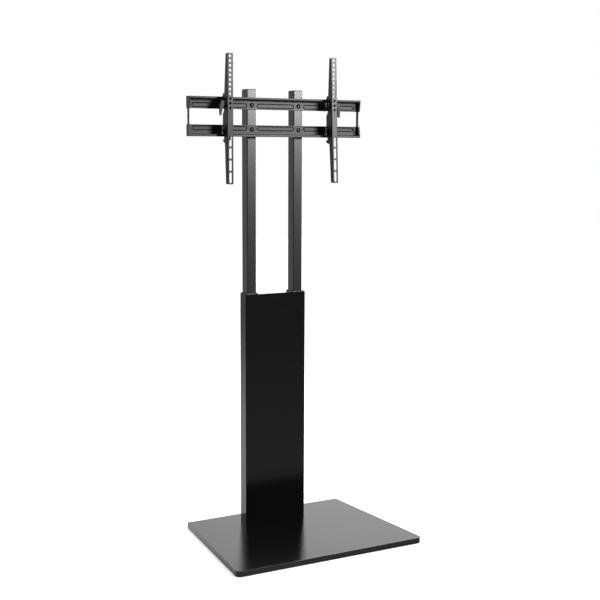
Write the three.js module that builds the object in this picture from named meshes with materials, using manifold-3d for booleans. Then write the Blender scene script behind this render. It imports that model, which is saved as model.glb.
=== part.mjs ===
// Floor stand for a television. A wide base plate carries two telescopic posts
// behind a folded sheet cover. Two hooked rails lie across the posts, and two
// bracket arms hang on them, slide along them and tilt.
// Millimetres, +Z up, front towards -Y, origin on the floor under the plate's middle.
import * as THREE from "three";
import { mergeVertices } from "three/addons/utils/BufferGeometryUtils.js";
import Module from "manifold-3d";

// Driving dimensions

// Gaps between neighbours, and how far a cutting shape runs past a face.
const fit = { seat: 0.2, running: 0.3, guide: 0.5, overrun: 3 };

// Facets of a full circle, by how large the round form is.
const facets = { pad: 24, screw: 12, socket: 6, hole: 10, slot: 5, bead: 5, corner: 3 };

const plate = {
  frontWidth: 682,
  rearWidth: 592,
  depth: 502,
  thickness: 18,
  cornerRadius: 18,
  edgeRadius: 1.5,
};
const pad = { radius: 16, height: 1.5, inset: 42 };

// Two posts side by side. Their line lies this far in front of the plate's rear edge.
const column = { spacing: 175, fromRear: 63.6 };
const post = { width: 33.5, depth: 42, wall: 2, cornerRadius: 3, length: 1000 };
const postCap = { height: 2, plugDepth: 14, plugWall: 2 };
const glide = { height: 4, plugDepth: 18, plugWall: 2.5 };
const sleeve = { wall: 2, cornerRadius: 4, bossRadius: 9, bossHeight: 6, clampDrop: 42 };
const collar = { width: 46, depth: 50, height: 30, lip: 4, rise: 3, cornerRadius: 5 };
const footPlate = { width: 212, depth: 46, thickness: 6, boltSpacingX: 100, boltSpacingY: 24 };
const cover = { wall: 2, height: 793, depth: 42.5, sideGap: 1.5, frontGap: 0.4, bendRadius: 2.5 };
const brace = { height: 40, thickness: 4, frontSet: 5, lowerHeight: 120, upperDrop: 72 };
const coverHook = { width: 90, wall: 2, legLength: 24, tipLength: 12 };
const coverScrewSpacing = 84;

// Rails, seen from the side: a web on the posts, a ledge forward and a lip away from the middle.
const rail = {
  length: 635.2,
  height: 38.8,
  depth: 23.1,
  wall: 2.5,
  lipHeight: 8.5,
  overall: 128.6,
  boltFromLip: 24.6,
};
const bead = {
  fromLip: 27.2,
  radius: 8,
  grooveWidth: 3.4,
  grooveDepth: 1.7,
  backRise: 1.2,
  clearOfPost: 1.4,
  clearOfEnd: 14.4,
};
const endPlate = { thickness: 2, stripDepth: 13.7, footWidth: 11, frontSlope: 5, fillet: 6 };
const endCap = { thickness: 3.4, setBack: 5.5, cornerRadius: 3 };
const rivet = { radius: 1.9, headRadius: 3.8, headHeight: 1.6, fromEnd: 7.4 };

// Height of the rails' middle above the floor as photographed, and of the posts above it.
const mount = { height: 1404.3, postRise: 92.8 };

const arm = {
  spacing: 389,
  leftShift: 2.1,
  width: 22,
  length: 420,
  wall: 2,
  topAbovePivot: 156.7,
  topDepth: 11.5,
  shoulderDrop: 128,
  shoulderDepth: 23.5,
  narrowTopDepth: 8,
  narrowDrop: 134,
  narrowDepth: 15.5,
  narrowWaistDepth: 12,
  narrowBottomDepth: 6.2,
  waistDrop: 292,
  waistDepth: 20,
  bottomDepth: 12.5,
  cornerRadius: 4,
};
const armHoles = { count: 12, radius: 4.5, pitch: 15, first: 9.6 };
const armSlots = { count: 4, radius: 4.5, length: 34.5, pitch: 39.2, first: 281 };

// Tilt pivot and lock bolt: height over the rails' middle, and depth behind the arm's front.
const pivot = { height: 44.7, depth: 18, lugRadius: 7 };
const lock = { height: -39.3, depth: 25, lugRadius: 5.5 };
const tilt = { backward: 3, forward: 7, slack: 0.5, rightAtRest: -2.6 };

const hanger = {
  width: 17.4,
  wall: 2.5,
  standoff: 37.3,
  hookRise: 11.2,
  hookWidth: 4.2,
  hookReach: 5.4,
  backDepth: 40.5,
  backTop: 8,
  waistDepth: 28,
  waistHeight: 25,
  railClear: 8,
  topFront: 5,
  shoulderFront: 25.5,
  shoulderHeight: 20,
  kneeHeight: 10,
  shinHeight: 18,
  lockFront: 14.8,
  bottomFront: 17,
  bottomBack: 31.5,
  bottomDrop: 12,
};
const latch = {
  front: 20,
  neck: 31,
  topRise: 6.5,
  travel: 14.6,
  tipHeight: 5.7,
  tipWidth: 6,
  toeHeight: 6.2,
  heelDepth: 33,
  pinRadius: 2.5,
  pinDepth: 26,
};
const lever = {
  hubRadius: 7.5,
  tipRadius: 4,
  length: 41.5,
  hubInnerWidth: 8.5,
  hubOuterWidth: 12.5,
  wing: 18.6,
  tipThickness: 4.6,
  wingDrop: 12,
  boreDepth: 5,
};

// Screws: shank and head radius, head height, hexagon socket.
const m8 = { shank: 4, head: 7.4, headHeight: 5, socket: 2.9, socketDepth: 3 };
const m8Flat = { shank: 4, head: 7.8, headHeight: 4.6, socket: 2.9, socketDepth: 2.6 };
const m6 = { shank: 3, head: 5.6, headHeight: 3.6, socket: 2.2, socketDepth: 2.2 };
const m4 = { shank: 2, head: 3.8, headHeight: 2.4, socket: 1.5, socketDepth: 1.4 };
const nutM6 = { radius: 5.8, height: 5 };
const screwClearance = 0.25;
const railBoltReach = 12;

// Finishes
const finish = {
  lacquer: { color: 0x17171a, roughness: 0.32, metalness: 0 },
  steel: { color: 0x1d1d20, roughness: 0.42, metalness: 0.1 },
  cover: { color: 0x121214, roughness: 0.4, metalness: 0.1 },
  screw: { color: 0x2b2b2e, roughness: 0.35, metalness: 0.8 },
  plastic: { color: 0x141416, roughness: 0.55, metalness: 0 },
  rubber: { color: 0x0c0c0c, roughness: 0.9, metalness: 0 },
};

// Levels and places that follow from the sizes

const plateBottom = pad.height + fit.seat;
const plateTop = plateBottom + plate.thickness;
const footTop = plateTop + fit.seat + footPlate.thickness;
const coverTop = plateTop + fit.seat + cover.height;
const collarTop = coverTop + collar.rise;
const sleeveTop = collarTop - collar.lip - fit.seat;
const sleeveBottom = footTop + fit.seat;
const columnY = plate.depth / 2 - column.fromRear;
const sleeveWidth = post.width + 2 * (fit.guide + sleeve.wall);
const sleeveDepth = post.depth + 2 * (fit.guide + sleeve.wall);
const sleeveInnerX = (column.spacing - sleeveWidth) / 2;
const coverInnerWidth = column.spacing + collar.width + 2 * cover.sideGap;
const coverWidth = coverInnerWidth + 2 * cover.wall;
const coverBackY = columnY - collar.depth / 2 - cover.frontGap;
const braceFrontY = coverBackY + brace.frontSet;
const upperBraceZ = coverTop - brace.upperDrop;
const clampZ = sleeveTop - sleeve.clampDrop;

const postFrontY = columnY - post.depth / 2;
const postTop = mount.height + mount.postRise - postCap.height - fit.seat;
const postBottom = postTop - post.length;
const railBackY = postFrontY - fit.seat;
const webFrontY = railBackY - rail.wall;
const lipFrontY = railBackY - rail.depth;
const lipBackY = lipFrontY + rail.wall;
const railHalf = rail.overall / 2;
const railEndX = rail.length / 2;
const ledgeHeight = rail.height - rail.lipHeight;
const armFrontY = lipFrontY - hanger.standoff;
const armHalf = arm.width / 2;
const hangerHalf = hanger.width / 2;
const hangerInner = hangerHalf - hanger.wall;

const wasm = await Module();
wasm.setup();

// Outlines

function outline(points) {
  return new THREE.Shape(points.map(([u, v]) => new THREE.Vector2(u, v)));
}

function roundedOutline(points, radius) {
  const shape = new THREE.Shape();
  points.forEach(([u, v], index) => {
    const corner = new THREE.Vector2(u, v);
    const before = new THREE.Vector2(...points.at(index - 1)).sub(corner);
    const after = new THREE.Vector2(...points[(index + 1) % points.length]).sub(corner);
    const angle = Math.abs(Math.atan2(before.cross(after), before.dot(after)));
    const run = radius / Math.tan(angle / 2);
    const start = before.setLength(run).add(corner);
    const end = after.setLength(run).add(corner);
    if (index === 0) {
      shape.moveTo(start.x, start.y);
    } else {
      shape.lineTo(start.x, start.y);
    }
    shape.quadraticCurveTo(corner.x, corner.y, end.x, end.y);
  });
  return shape;
}

function rectangle(width, height) {
  const [u, v] = [width / 2, height / 2];
  return outline([[-u, -v], [u, -v], [u, v], [-u, v]]);
}

function roundedRectangle(width, height, radius) {
  const [u, v] = [width / 2, height / 2];
  return roundedOutline([[-u, -v], [u, -v], [u, v], [-u, v]], radius);
}

function slotOutline(length, radius) {
  const half = length / 2 - radius;
  const shape = new THREE.Shape();
  shape.absarc(half, 0, radius, -Math.PI / 2, Math.PI / 2, false);
  shape.absarc(-half, 0, radius, Math.PI / 2, Math.PI * 1.5, false);
  return shape;
}

// Solids

function prism(shape, depth, curveSegments = facets.corner) {
  return new THREE.ExtrudeGeometry(shape, { depth, bevelEnabled: false, curveSegments });
}

// An outline in Y and Z, drawn out along X from one place to another.
function alongX(shape, from, to, curveSegments) {
  const turn = new THREE.Matrix4().set(0, 0, 1, 0, 1, 0, 0, 0, 0, 1, 0, 0, 0, 0, 0, 1);
  const start = Math.min(from, to);
  return prism(shape, Math.abs(to - from), curveSegments).applyMatrix4(turn).translate(start, 0, 0);
}

// An outline in X and Z, drawn out along Y from the front to the back.
function alongY(shape, front, back, curveSegments) {
  return prism(shape, back - front, curveSegments).rotateX(Math.PI / 2).translate(0, back, 0);
}

// An outline in X and Y, drawn out along Z from the bottom to the top.
function alongZ(shape, bottom, top, curveSegments) {
  return prism(shape, top - bottom, curveSegments).translate(0, 0, bottom);
}

function rodX(radius, from, to, y, z, sides = facets.screw) {
  const rod = new THREE.CylinderGeometry(radius, radius, Math.abs(to - from), sides);
  return rod.rotateZ(Math.PI / 2).translate((from + to) / 2, y, z);
}

function rodY(radius, front, back, x, z, sides = facets.screw) {
  const rod = new THREE.CylinderGeometry(radius, radius, back - front, sides);
  return rod.translate(x, (front + back) / 2, z);
}

function rodZ(radius, bottom, top, x, y, sides = facets.screw) {
  const rod = new THREE.CylinderGeometry(radius, radius, top - bottom, sides);
  return rod.rotateX(Math.PI / 2).translate(x, y, (bottom + top) / 2);
}

function body(geometry) {
  const bare = geometry.clone();
  bare.deleteAttribute("normal");
  bare.deleteAttribute("uv");
  const merged = mergeVertices(bare);
  return new wasm.Manifold(new wasm.Mesh({
    numProp: 3,
    vertProperties: new Float32Array(merged.attributes.position.array),
    triVerts: new Uint32Array(merged.index.array),
  }));
}

function combine({ of, add = [], keep = [], cut = [] }) {
  let result = body(of);
  add.forEach((piece) => {
    result = result.add(body(piece));
  });
  keep.forEach((piece) => {
    result = result.intersect(body(piece));
  });
  cut.forEach((piece) => {
    result = result.subtract(body(piece));
  });
  const mesh = result.getMesh();
  const geometry = new THREE.BufferGeometry();
  geometry.setAttribute("position", new THREE.BufferAttribute(new Float32Array(mesh.vertProperties), 3));
  geometry.setIndex(new THREE.BufferAttribute(new Uint32Array(mesh.triVerts), 1));
  geometry.computeVertexNormals();
  return geometry;
}

function piece(name, geometry, look) {
  const mesh = new THREE.Mesh(geometry, new THREE.MeshStandardMaterial(look));
  mesh.name = name;
  return mesh;
}

// A socket screw along +Y: its head's underside is at the origin, its shank behind it.
function screw(size, length) {
  const profile = [
    [0, -size.headHeight],
    [size.head - size.headHeight / 2, -size.headHeight],
    [size.head, -size.headHeight / 2],
    [size.head, 0],
    [size.shank, 0],
    [size.shank, length],
    [0, length],
  ];
  const turned = new THREE.LatheGeometry(profile.map(([r, y]) => new THREE.Vector2(r, y)), facets.screw);
  const socketEnd = size.socketDepth - size.headHeight;
  const socket = rodY(size.socket, -size.headHeight - fit.overrun, socketEnd, 0, 0, facets.socket);
  return combine({ of: turned, cut: [socket] });
}

const sides = [
  { name: "left", sign: -1 },
  { name: "right", sign: 1 },
];
const levels = [
  { name: "upper", sign: 1 },
  { name: "lower", sign: -1 },
];

// Base

function makePlate() {
  const [front, rear, half] = [plate.frontWidth / 2, plate.rearWidth / 2, plate.depth / 2];
  const corners = [[-front, -half], [front, -half], [rear, half], [-rear, half]];
  const slab = new THREE.ExtrudeGeometry(roundedOutline(corners, plate.cornerRadius), {
    depth: plate.thickness - 2 * plate.edgeRadius,
    bevelThickness: plate.edgeRadius,
    bevelSize: plate.edgeRadius,
    bevelOffset: -plate.edgeRadius,
    bevelSegments: 2,
    curveSegments: 2 * facets.corner,
  }).translate(0, 0, plateBottom + plate.edgeRadius);
  const holes = baseBoltPlaces().flatMap(([x, y]) => [
    rodZ(m8Flat.shank + screwClearance, plateBottom - fit.overrun, plateTop + fit.overrun, x, y),
    rodZ(m8Flat.head + screwClearance, plateBottom - fit.overrun, baseBoltSeatZ(), x, y),
  ]);
  return piece("base_plate", combine({ of: slab, cut: holes }), finish.lacquer);
}

function baseBoltPlaces() {
  const [x, y] = [footPlate.boltSpacingX / 2, footPlate.boltSpacingY / 2];
  return [[-x, columnY - y], [x, columnY - y], [x, columnY + y], [-x, columnY + y]];
}

function baseBoltSeatZ() {
  return plateBottom + m8Flat.headHeight + screwClearance + fit.seat;
}

function makeBaseBolts() {
  const length = footTop - baseBoltSeatZ();
  return baseBoltPlaces().map(([x, y], index) => {
    const bolt = piece(`base_bolt_${index + 1}`, screw(m8Flat, length), finish.screw);
    bolt.rotation.x = Math.PI / 2;
    bolt.position.set(x, y, baseBoltSeatZ() - fit.seat);
    return bolt;
  });
}

function makePads() {
  const y = plate.depth / 2 - pad.inset;
  const places = [
    [plate.frontWidth / 2 - pad.inset, -y],
    [plate.rearWidth / 2 - pad.inset, y],
  ];
  return places.flatMap(([x, padY], row) =>
    sides.map(({ name, sign }) => {
      const disc = rodZ(pad.radius, 0, pad.height, sign * x, padY, facets.pad);
      return piece(`foot_pad_${row === 0 ? "front" : "rear"}_${name}`, disc, finish.rubber);
    }),
  );
}

function makeFootPlate() {
  const slab = alongZ(rectangle(footPlate.width, footPlate.depth), plateTop + fit.seat, footTop);
  slab.translate(0, columnY, 0);
  const holes = baseBoltPlaces().map(([x, y]) =>
    rodZ(m8Flat.shank + screwClearance, plateTop - fit.overrun, footTop + fit.overrun, x, y));
  return piece("foot_plate", combine({ of: slab, cut: holes }), finish.steel);
}

// Column

function makeSleeve({ name, sign }) {
  const section = roundedRectangle(sleeveWidth, sleeveDepth, sleeve.cornerRadius);
  const outer = alongZ(section, sleeveBottom, sleeveTop);
  const bore = alongZ(
    rectangle(sleeveWidth - 2 * sleeve.wall, sleeveDepth - 2 * sleeve.wall),
    sleeveBottom - fit.overrun,
    sleeveTop + fit.overrun,
  );
  const back = sleeveDepth / 2;
  const boss = rodY(sleeve.bossRadius, back - sleeve.wall, back + sleeve.bossHeight, 0, clampZ);
  const hole = rodY(m8.shank + screwClearance, 0, back + sleeve.bossHeight + fit.overrun, 0, clampZ);
  const shape = combine({ of: outer, add: [boss], cut: [bore, hole] });
  const tube = piece(`outer_sleeve_${name}`, shape, finish.steel);
  tube.position.set(sign * column.spacing / 2, columnY, 0);
  return tube;
}

function makeCollar({ name, sign }) {
  const block = alongZ(
    roundedRectangle(collar.width, collar.depth, collar.cornerRadius),
    collarTop - collar.height,
    collarTop,
  );
  const socket = alongZ(
    roundedRectangle(sleeveWidth + 2 * fit.seat, sleeveDepth + 2 * fit.seat, sleeve.cornerRadius),
    collarTop - collar.height - fit.overrun,
    sleeveTop + fit.seat,
  );
  const mouth = alongZ(
    rectangle(post.width + 2 * fit.running, post.depth + 2 * fit.running),
    sleeveTop - fit.overrun,
    collarTop + fit.overrun,
  );
  const ring = piece(`sleeve_collar_${name}`, combine({ of: block, cut: [socket, mouth] }), finish.plastic);
  ring.position.set(sign * column.spacing / 2, columnY, 0);
  return ring;
}

function makeClampBolt({ name, sign }) {
  const seatY = sleeveDepth / 2 + sleeve.bossHeight + fit.seat;
  const shape = screw(m8, seatY - post.depth / 2 - fit.seat);
  const bolt = piece(`height_clamp_bolt_${name}`, shape, finish.screw);
  bolt.rotation.z = Math.PI;
  bolt.position.set(sign * column.spacing / 2, columnY + seatY, clampZ);
  return bolt;
}

function makeBrace(name, z, holes) {
  const half = sleeveInnerX - fit.seat;
  const bar = alongX(
    outline([
      [braceFrontY, z - brace.height / 2],
      [braceFrontY + brace.thickness, z - brace.height / 2],
      [braceFrontY + brace.thickness, z + brace.height / 2],
      [braceFrontY, z + brace.height / 2],
    ]),
    -half,
    half,
  );
  return piece(name, combine({ of: bar, cut: holes }), finish.steel);
}

function coverScrewHoles() {
  return sides.map(({ sign }) =>
    rodY(
      m4.shank + screwClearance,
      braceFrontY - fit.overrun,
      braceFrontY + brace.thickness + fit.overrun,
      sign * coverScrewSpacing / 2,
      brace.lowerHeight,
    ));
}

function makeCover() {
  const half = coverWidth / 2;
  const frontY = coverBackY - cover.wall;
  const skin = alongZ(
    roundedOutline(
      [[-half, frontY], [half, frontY], [half, frontY + cover.depth], [-half, frontY + cover.depth]],
      cover.bendRadius,
    ),
    plateTop + fit.seat,
    coverTop,
  );
  const inner = alongZ(
    outline([
      [-coverInnerWidth / 2, coverBackY],
      [coverInnerWidth / 2, coverBackY],
      [coverInnerWidth / 2, frontY + cover.depth + fit.overrun],
      [-coverInnerWidth / 2, frontY + cover.depth + fit.overrun],
    ]),
    plateTop - fit.overrun,
    coverTop + fit.overrun,
  );
  return piece("column_cover", combine({ of: skin, cut: [inner] }), finish.cover);
}

// A folded strip fixed to the cover's back, hung over the upper brace.
function makeCoverHook() {
  const topZ = upperBraceZ + brace.height / 2 + fit.running;
  const frontY = coverBackY + fit.seat;
  const tipY = braceFrontY + brace.thickness + fit.running;
  const { wall, width, legLength, tipLength } = coverHook;
  const section = outline([
    [frontY, topZ + wall - legLength],
    [frontY + wall, topZ + wall - legLength],
    [frontY + wall, topZ],
    [tipY, topZ],
    [tipY, topZ + wall - tipLength],
    [tipY + wall, topZ + wall - tipLength],
    [tipY + wall, topZ + wall],
    [frontY, topZ + wall],
  ]);
  return piece("cover_hook", alongX(section, -width / 2, width / 2), finish.steel);
}

function makeCoverScrew({ name, sign }) {
  const seatY = braceFrontY + brace.thickness + fit.seat;
  const item = piece(`cover_screw_${name}`, screw(m4, seatY - coverBackY - fit.seat), finish.screw);
  item.rotation.z = Math.PI;
  item.position.set(sign * coverScrewSpacing / 2, seatY, brace.lowerHeight);
  return item;
}

// Sliding posts

function railBoltZ(level) {
  return mount.height + level.sign * (railHalf - rail.boltFromLip);
}

function makePost({ name, sign }) {
  const outer = alongZ(roundedRectangle(post.width, post.depth, post.cornerRadius), postBottom, postTop);
  const bore = alongZ(
    rectangle(post.width - 2 * post.wall, post.depth - 2 * post.wall),
    postBottom - fit.overrun,
    postTop + fit.overrun,
  );
  const holes = levels.map((level) =>
    rodY(m8.shank + screwClearance, -post.depth / 2 - fit.overrun, 0, 0, railBoltZ(level)));
  const tube = piece(`post_${name}`, combine({ of: outer, cut: [bore, ...holes] }), finish.steel);
  tube.position.set(sign * column.spacing / 2, columnY, 0);
  return tube;
}

// A hollow plug that fills a post's end, with a flange over the rim.
function plugShape(flangeWidth, flangeDepth, flangeHeight, plugDepth, plugWall) {
  const flange = alongZ(roundedRectangle(flangeWidth, flangeDepth, post.cornerRadius), 0, flangeHeight);
  const [width, depth] = [post.width, post.depth].map((size) => size - 2 * (post.wall + fit.seat));
  const plug = alongZ(rectangle(width, depth), -plugDepth, flangeHeight / 2);
  const hollow = alongZ(
    rectangle(width - 2 * plugWall, depth - 2 * plugWall),
    -plugDepth - fit.overrun,
    0,
  );
  return combine({ of: flange, add: [plug], cut: [hollow] });
}

function makePostCap({ name, sign }) {
  const shape = plugShape(post.width, post.depth, postCap.height, postCap.plugDepth, postCap.plugWall);
  const cap = piece(`post_cap_${name}`, shape, finish.plastic);
  cap.position.set(sign * column.spacing / 2, columnY, postTop + fit.seat);
  return cap;
}

function makeGlide({ name, sign }) {
  const grow = 2 * (fit.guide - fit.running);
  const [width, depth] = [post.width + grow, post.depth + grow];
  const shape = plugShape(width, depth, glide.height, glide.plugDepth, glide.plugWall);
  const foot = piece(`post_glide_${name}`, shape, finish.plastic);
  foot.rotation.x = Math.PI;
  foot.position.set(sign * column.spacing / 2, columnY, postBottom - fit.seat);
  return foot;
}

// Rails

// Heights on a rail are counted from its lip's edge towards the middle of the mount.
function railZ(level, fromLip) {
  return mount.height + level.sign * (railHalf - fromLip);
}

function railSection(level) {
  const ledgeUnder = rail.lipHeight;
  const ledgeOver = rail.lipHeight - rail.wall;
  return outline([
    [railBackY, railZ(level, rail.height)],
    [railBackY, railZ(level, ledgeOver)],
    [lipBackY, railZ(level, ledgeOver)],
    [lipBackY, railZ(level, 0)],
    [lipFrontY, railZ(level, 0)],
    [lipFrontY, railZ(level, ledgeUnder)],
    [webFrontY, railZ(level, ledgeUnder)],
    [webFrontY, railZ(level, rail.height)],
  ]);
}

function beadSpans() {
  const inner = column.spacing / 2 - post.width / 2 - bead.clearOfPost;
  const outer = column.spacing / 2 + post.width / 2 + bead.clearOfPost;
  const end = railEndX - bead.clearOfEnd;
  return [[-end, -outer], [-inner, inner], [outer, end]];
}

// One pressed bead: a ring-shaped groove in front and its raised back.
function beadPieces(level, [from, to]) {
  const ring = (radius, front, back) =>
    alongY(slotOutline(to - from - 2 * (bead.radius - radius), radius), front, back, facets.bead)
      .translate((from + to) / 2, 0, railZ(level, bead.fromLip));
  const islandRadius = bead.radius - bead.grooveWidth;
  const grooveEnd = webFrontY + bead.grooveDepth;
  const groove = combine({
    of: ring(bead.radius, webFrontY - fit.overrun, grooveEnd),
    cut: [ring(islandRadius, webFrontY - 2 * fit.overrun, grooveEnd + fit.overrun)],
  });
  const back = combine({
    of: ring(bead.radius, webFrontY + bead.grooveDepth, railBackY + bead.backRise),
    cut: [ring(islandRadius, webFrontY, railBackY + bead.backRise + fit.overrun)],
  });
  return { groove, back };
}

function makeRail(level) {
  const beads = beadSpans().map((span) => beadPieces(level, span));
  const boltHoles = sides.map(({ sign }) =>
    rodY(
      m8.shank + screwClearance,
      webFrontY - fit.overrun,
      railBackY + fit.overrun,
      sign * column.spacing / 2,
      railBoltZ(level),
    ));
  const rivetHoles = sides.map(({ sign }) =>
    rodY(
      rivet.radius + screwClearance,
      webFrontY - fit.overrun,
      railBackY + fit.overrun,
      sign * rivetX(),
      rivetZ(level),
    ));
  const shape = combine({
    of: alongX(railSection(level), -railEndX, railEndX),
    add: beads.map(({ back }) => back),
    cut: [...beads.map(({ groove }) => groove), ...boltHoles, ...rivetHoles],
  });
  return piece(`rail_${level.name}`, shape, finish.steel);
}

function makeRailBolts(level) {
  return sides.map(({ name, sign }) => {
    const bolt = piece(`rail_bolt_${level.name}_${name}`, screw(m8, railBoltReach), finish.screw);
    bolt.position.set(sign * column.spacing / 2, webFrontY - fit.seat, railBoltZ(level));
    return bolt;
  });
}

// Rail ends

function rivetX() {
  return railEndX - rivet.fromEnd;
}

function rivetZ(level) {
  return railZ(level, (rail.lipHeight + rail.height) / 2);
}

// The plate stands square to the rails, inside their ledges, with a foot on each web.
function makeEndPlate({ name, sign }) {
  const outerX = sign * railEndX;
  const innerX = outerX - sign * endPlate.thickness;
  const [upper, lower] = levels;
  const plateBackY = webFrontY - fit.seat;
  const stripBackY = railBackY;
  const stripFrontY = stripBackY - endPlate.stripDepth;
  const noseY = lipFrontY + fit.seat;
  const ends = (level) => ({
    outer: railZ(level, rail.lipHeight + fit.seat),
    inner: railZ(level, rail.height + fit.seat),
    shoulder: railZ(level, rail.height - endPlate.fillet),
    strip: railZ(level, rail.height + endPlate.fillet),
  });
  const [up, down] = [ends(upper), ends(lower)];
  const side = outline([
    [plateBackY, up.outer],
    [noseY, up.outer],
    [noseY + endPlate.frontSlope, up.shoulder],
    [stripFrontY, up.strip],
    [stripFrontY, down.strip],
    [noseY + endPlate.frontSlope, down.shoulder],
    [noseY, down.outer],
    [plateBackY, down.outer],
    [plateBackY, down.inner],
    [stripBackY, down.inner],
    [stripBackY, up.inner],
    [plateBackY, up.inner],
  ]);
  const footFrontY = plateBackY - endPlate.thickness;
  const feet = [up, down].map(({ outer, inner }) =>
    alongX(
      outline([[footFrontY, inner], [plateBackY, inner], [plateBackY, outer], [footFrontY, outer]]),
      innerX + sign * endPlate.thickness / 2,
      outerX - sign * (endPlate.thickness + endPlate.footWidth),
    ));
  const holes = levels.map((level) =>
    rodY(
      rivet.radius + screwClearance,
      footFrontY - fit.overrun,
      plateBackY + fit.overrun,
      sign * rivetX(),
      rivetZ(level),
    ));
  const shape = combine({ of: alongX(side, innerX, outerX), add: feet, cut: holes });
  return piece(`end_plate_${name}`, shape, finish.steel);
}

function makeRivets(level) {
  const headBackY = webFrontY - fit.seat - endPlate.thickness - fit.seat;
  return sides.map(({ name, sign }) => {
    const profile = [
      [0, -rivet.headHeight],
      [rivet.headRadius - rivet.headHeight, -rivet.headHeight],
      [rivet.headRadius, 0],
      [rivet.radius, 0],
      [rivet.radius, railBackY - headBackY],
      [0, railBackY - headBackY],
    ];
    const turned = new THREE.LatheGeometry(profile.map(([r, y]) => new THREE.Vector2(r, y)), facets.hole);
    const item = piece(`end_rivet_${level.name}_${name}`, turned, finish.screw);
    item.position.set(sign * rivetX(), headBackY, rivetZ(level));
    return item;
  });
}

function makeEndCaps(level) {
  const corners = [
    [railBackY, railZ(level, rail.height)],
    [railBackY, railZ(level, 0)],
    [lipFrontY, railZ(level, 0)],
    [lipFrontY + endCap.setBack, railZ(level, rail.height)],
  ];
  return sides.map(({ name, sign }) => {
    const inner = sign * (railEndX + fit.seat);
    const section = roundedOutline(corners, endCap.cornerRadius);
    const shape = alongX(section, inner, inner + sign * endCap.thickness);
    return piece(`rail_end_cap_${level.name}_${name}`, shape, finish.plastic);
  });
}

// Arms. Places are counted from the rails' middle and the arm's front face.

// The television's bracket arm, drawn about its tilt pivot.
function makeArm({ name }) {
  const top = arm.topAbovePivot;
  const down = (drop) => top - drop;
  const behind = (depth) => depth - pivot.depth;
  const lockPoint = [behind(lock.depth), lock.height - pivot.height];
  const deepest = lock.depth + lock.lugRadius;
  const side = outline([
    [behind(0), top],
    [behind(0), down(arm.length)],
    [behind(arm.bottomDepth), down(arm.length)],
    [behind(arm.waistDepth), down(arm.waistDrop)],
    [behind(arm.waistDepth), lockPoint[1]],
    [behind(lock.depth), lockPoint[1]],
    [behind(lock.depth), 0],
    [behind(arm.shoulderDepth), down(arm.shoulderDrop)],
    [behind(arm.topDepth), top],
  ]);
  // One flange is narrower above the pivot and under the lock bolt, so screws are easily reached.
  const past = behind(deepest + fit.overrun);
  const underLock = lockPoint[1] - lock.lugRadius - fit.seat;
  const reliefs = [
    outline([
      [behind(arm.narrowTopDepth), top],
      [behind(arm.narrowDepth), down(arm.narrowDrop)],
      [behind(lock.depth), pivot.lugRadius],
      [past, pivot.lugRadius],
      [past, top + fit.overrun],
      [behind(arm.narrowTopDepth), top + fit.overrun],
    ]),
    outline([
      [behind(arm.narrowWaistDepth), underLock],
      [behind(arm.narrowBottomDepth), down(arm.length)],
      [behind(arm.narrowBottomDepth), down(arm.length) - fit.overrun],
      [past, down(arm.length) - fit.overrun],
      [past, underLock],
    ]),
  ];
  const face = roundedRectangle(arm.width, arm.length, arm.cornerRadius);
  const holes = Array.from({ length: armHoles.count }, (_, index) =>
    rodY(
      armHoles.radius,
      behind(-fit.overrun),
      behind(arm.wall + fit.overrun),
      0,
      down(armHoles.first + index * armHoles.pitch),
      facets.hole,
    ));
  const slots = Array.from({ length: armSlots.count }, (_, index) =>
    alongY(
      slotOutline(armSlots.length, armSlots.radius),
      behind(-fit.overrun),
      behind(arm.wall + fit.overrun),
      facets.slot,
    ).rotateY(Math.PI / 2).translate(0, 0, down(armSlots.first + index * armSlots.pitch)));
  const shape = combine({
    of: alongX(side, -armHalf, armHalf),
    add: [
      rodX(pivot.lugRadius, -armHalf, armHalf, 0, 0),
      rodX(lock.lugRadius, -armHalf, armHalf, ...lockPoint),
    ],
    keep: [
      alongY(face, behind(-fit.overrun), behind(deepest + fit.overrun))
        .translate(0, 0, down(arm.length / 2)),
    ],
    cut: [
      alongZ(
        rectangle(arm.width - 2 * arm.wall, deepest),
        down(arm.length) - fit.overrun,
        top + fit.overrun,
      ).translate(0, behind(arm.wall) + deepest / 2, 0),
      ...reliefs.map((relief) => alongX(relief, 0, armHalf + fit.overrun)),
      rodX(m8.shank + screwClearance, -armHalf - fit.overrun, armHalf + fit.overrun, 0, 0),
      rodX(m6.shank + screwClearance, -armHalf - fit.overrun, armHalf + fit.overrun, ...lockPoint),
      ...holes,
      ...slots,
    ],
  });
  return piece(`${name}_arm`, shape, finish.steel);
}

// A bolt across the arm, with its head on the side named by the sign.
function crossBolt(name, size, reach, headSign) {
  const bolt = piece(name, screw(size, reach), finish.screw);
  bolt.rotation.z = headSign * Math.PI / 2;
  bolt.position.x = headSign * (armHalf + fit.seat);
  return bolt;
}

function makeLockNut(name, sign) {
  const nut = combine({
    of: rodX(nutM6.radius, 0, nutM6.height, 0, 0, facets.socket),
    cut: [rodX(m6.shank + screwClearance, -fit.overrun, nutM6.height + fit.overrun, 0, 0)],
  });
  const item = piece(name, nut, finish.screw);
  item.position.x = sign > 0 ? armHalf + fit.seat : -armHalf - fit.seat - nutM6.height;
  return item;
}

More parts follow.
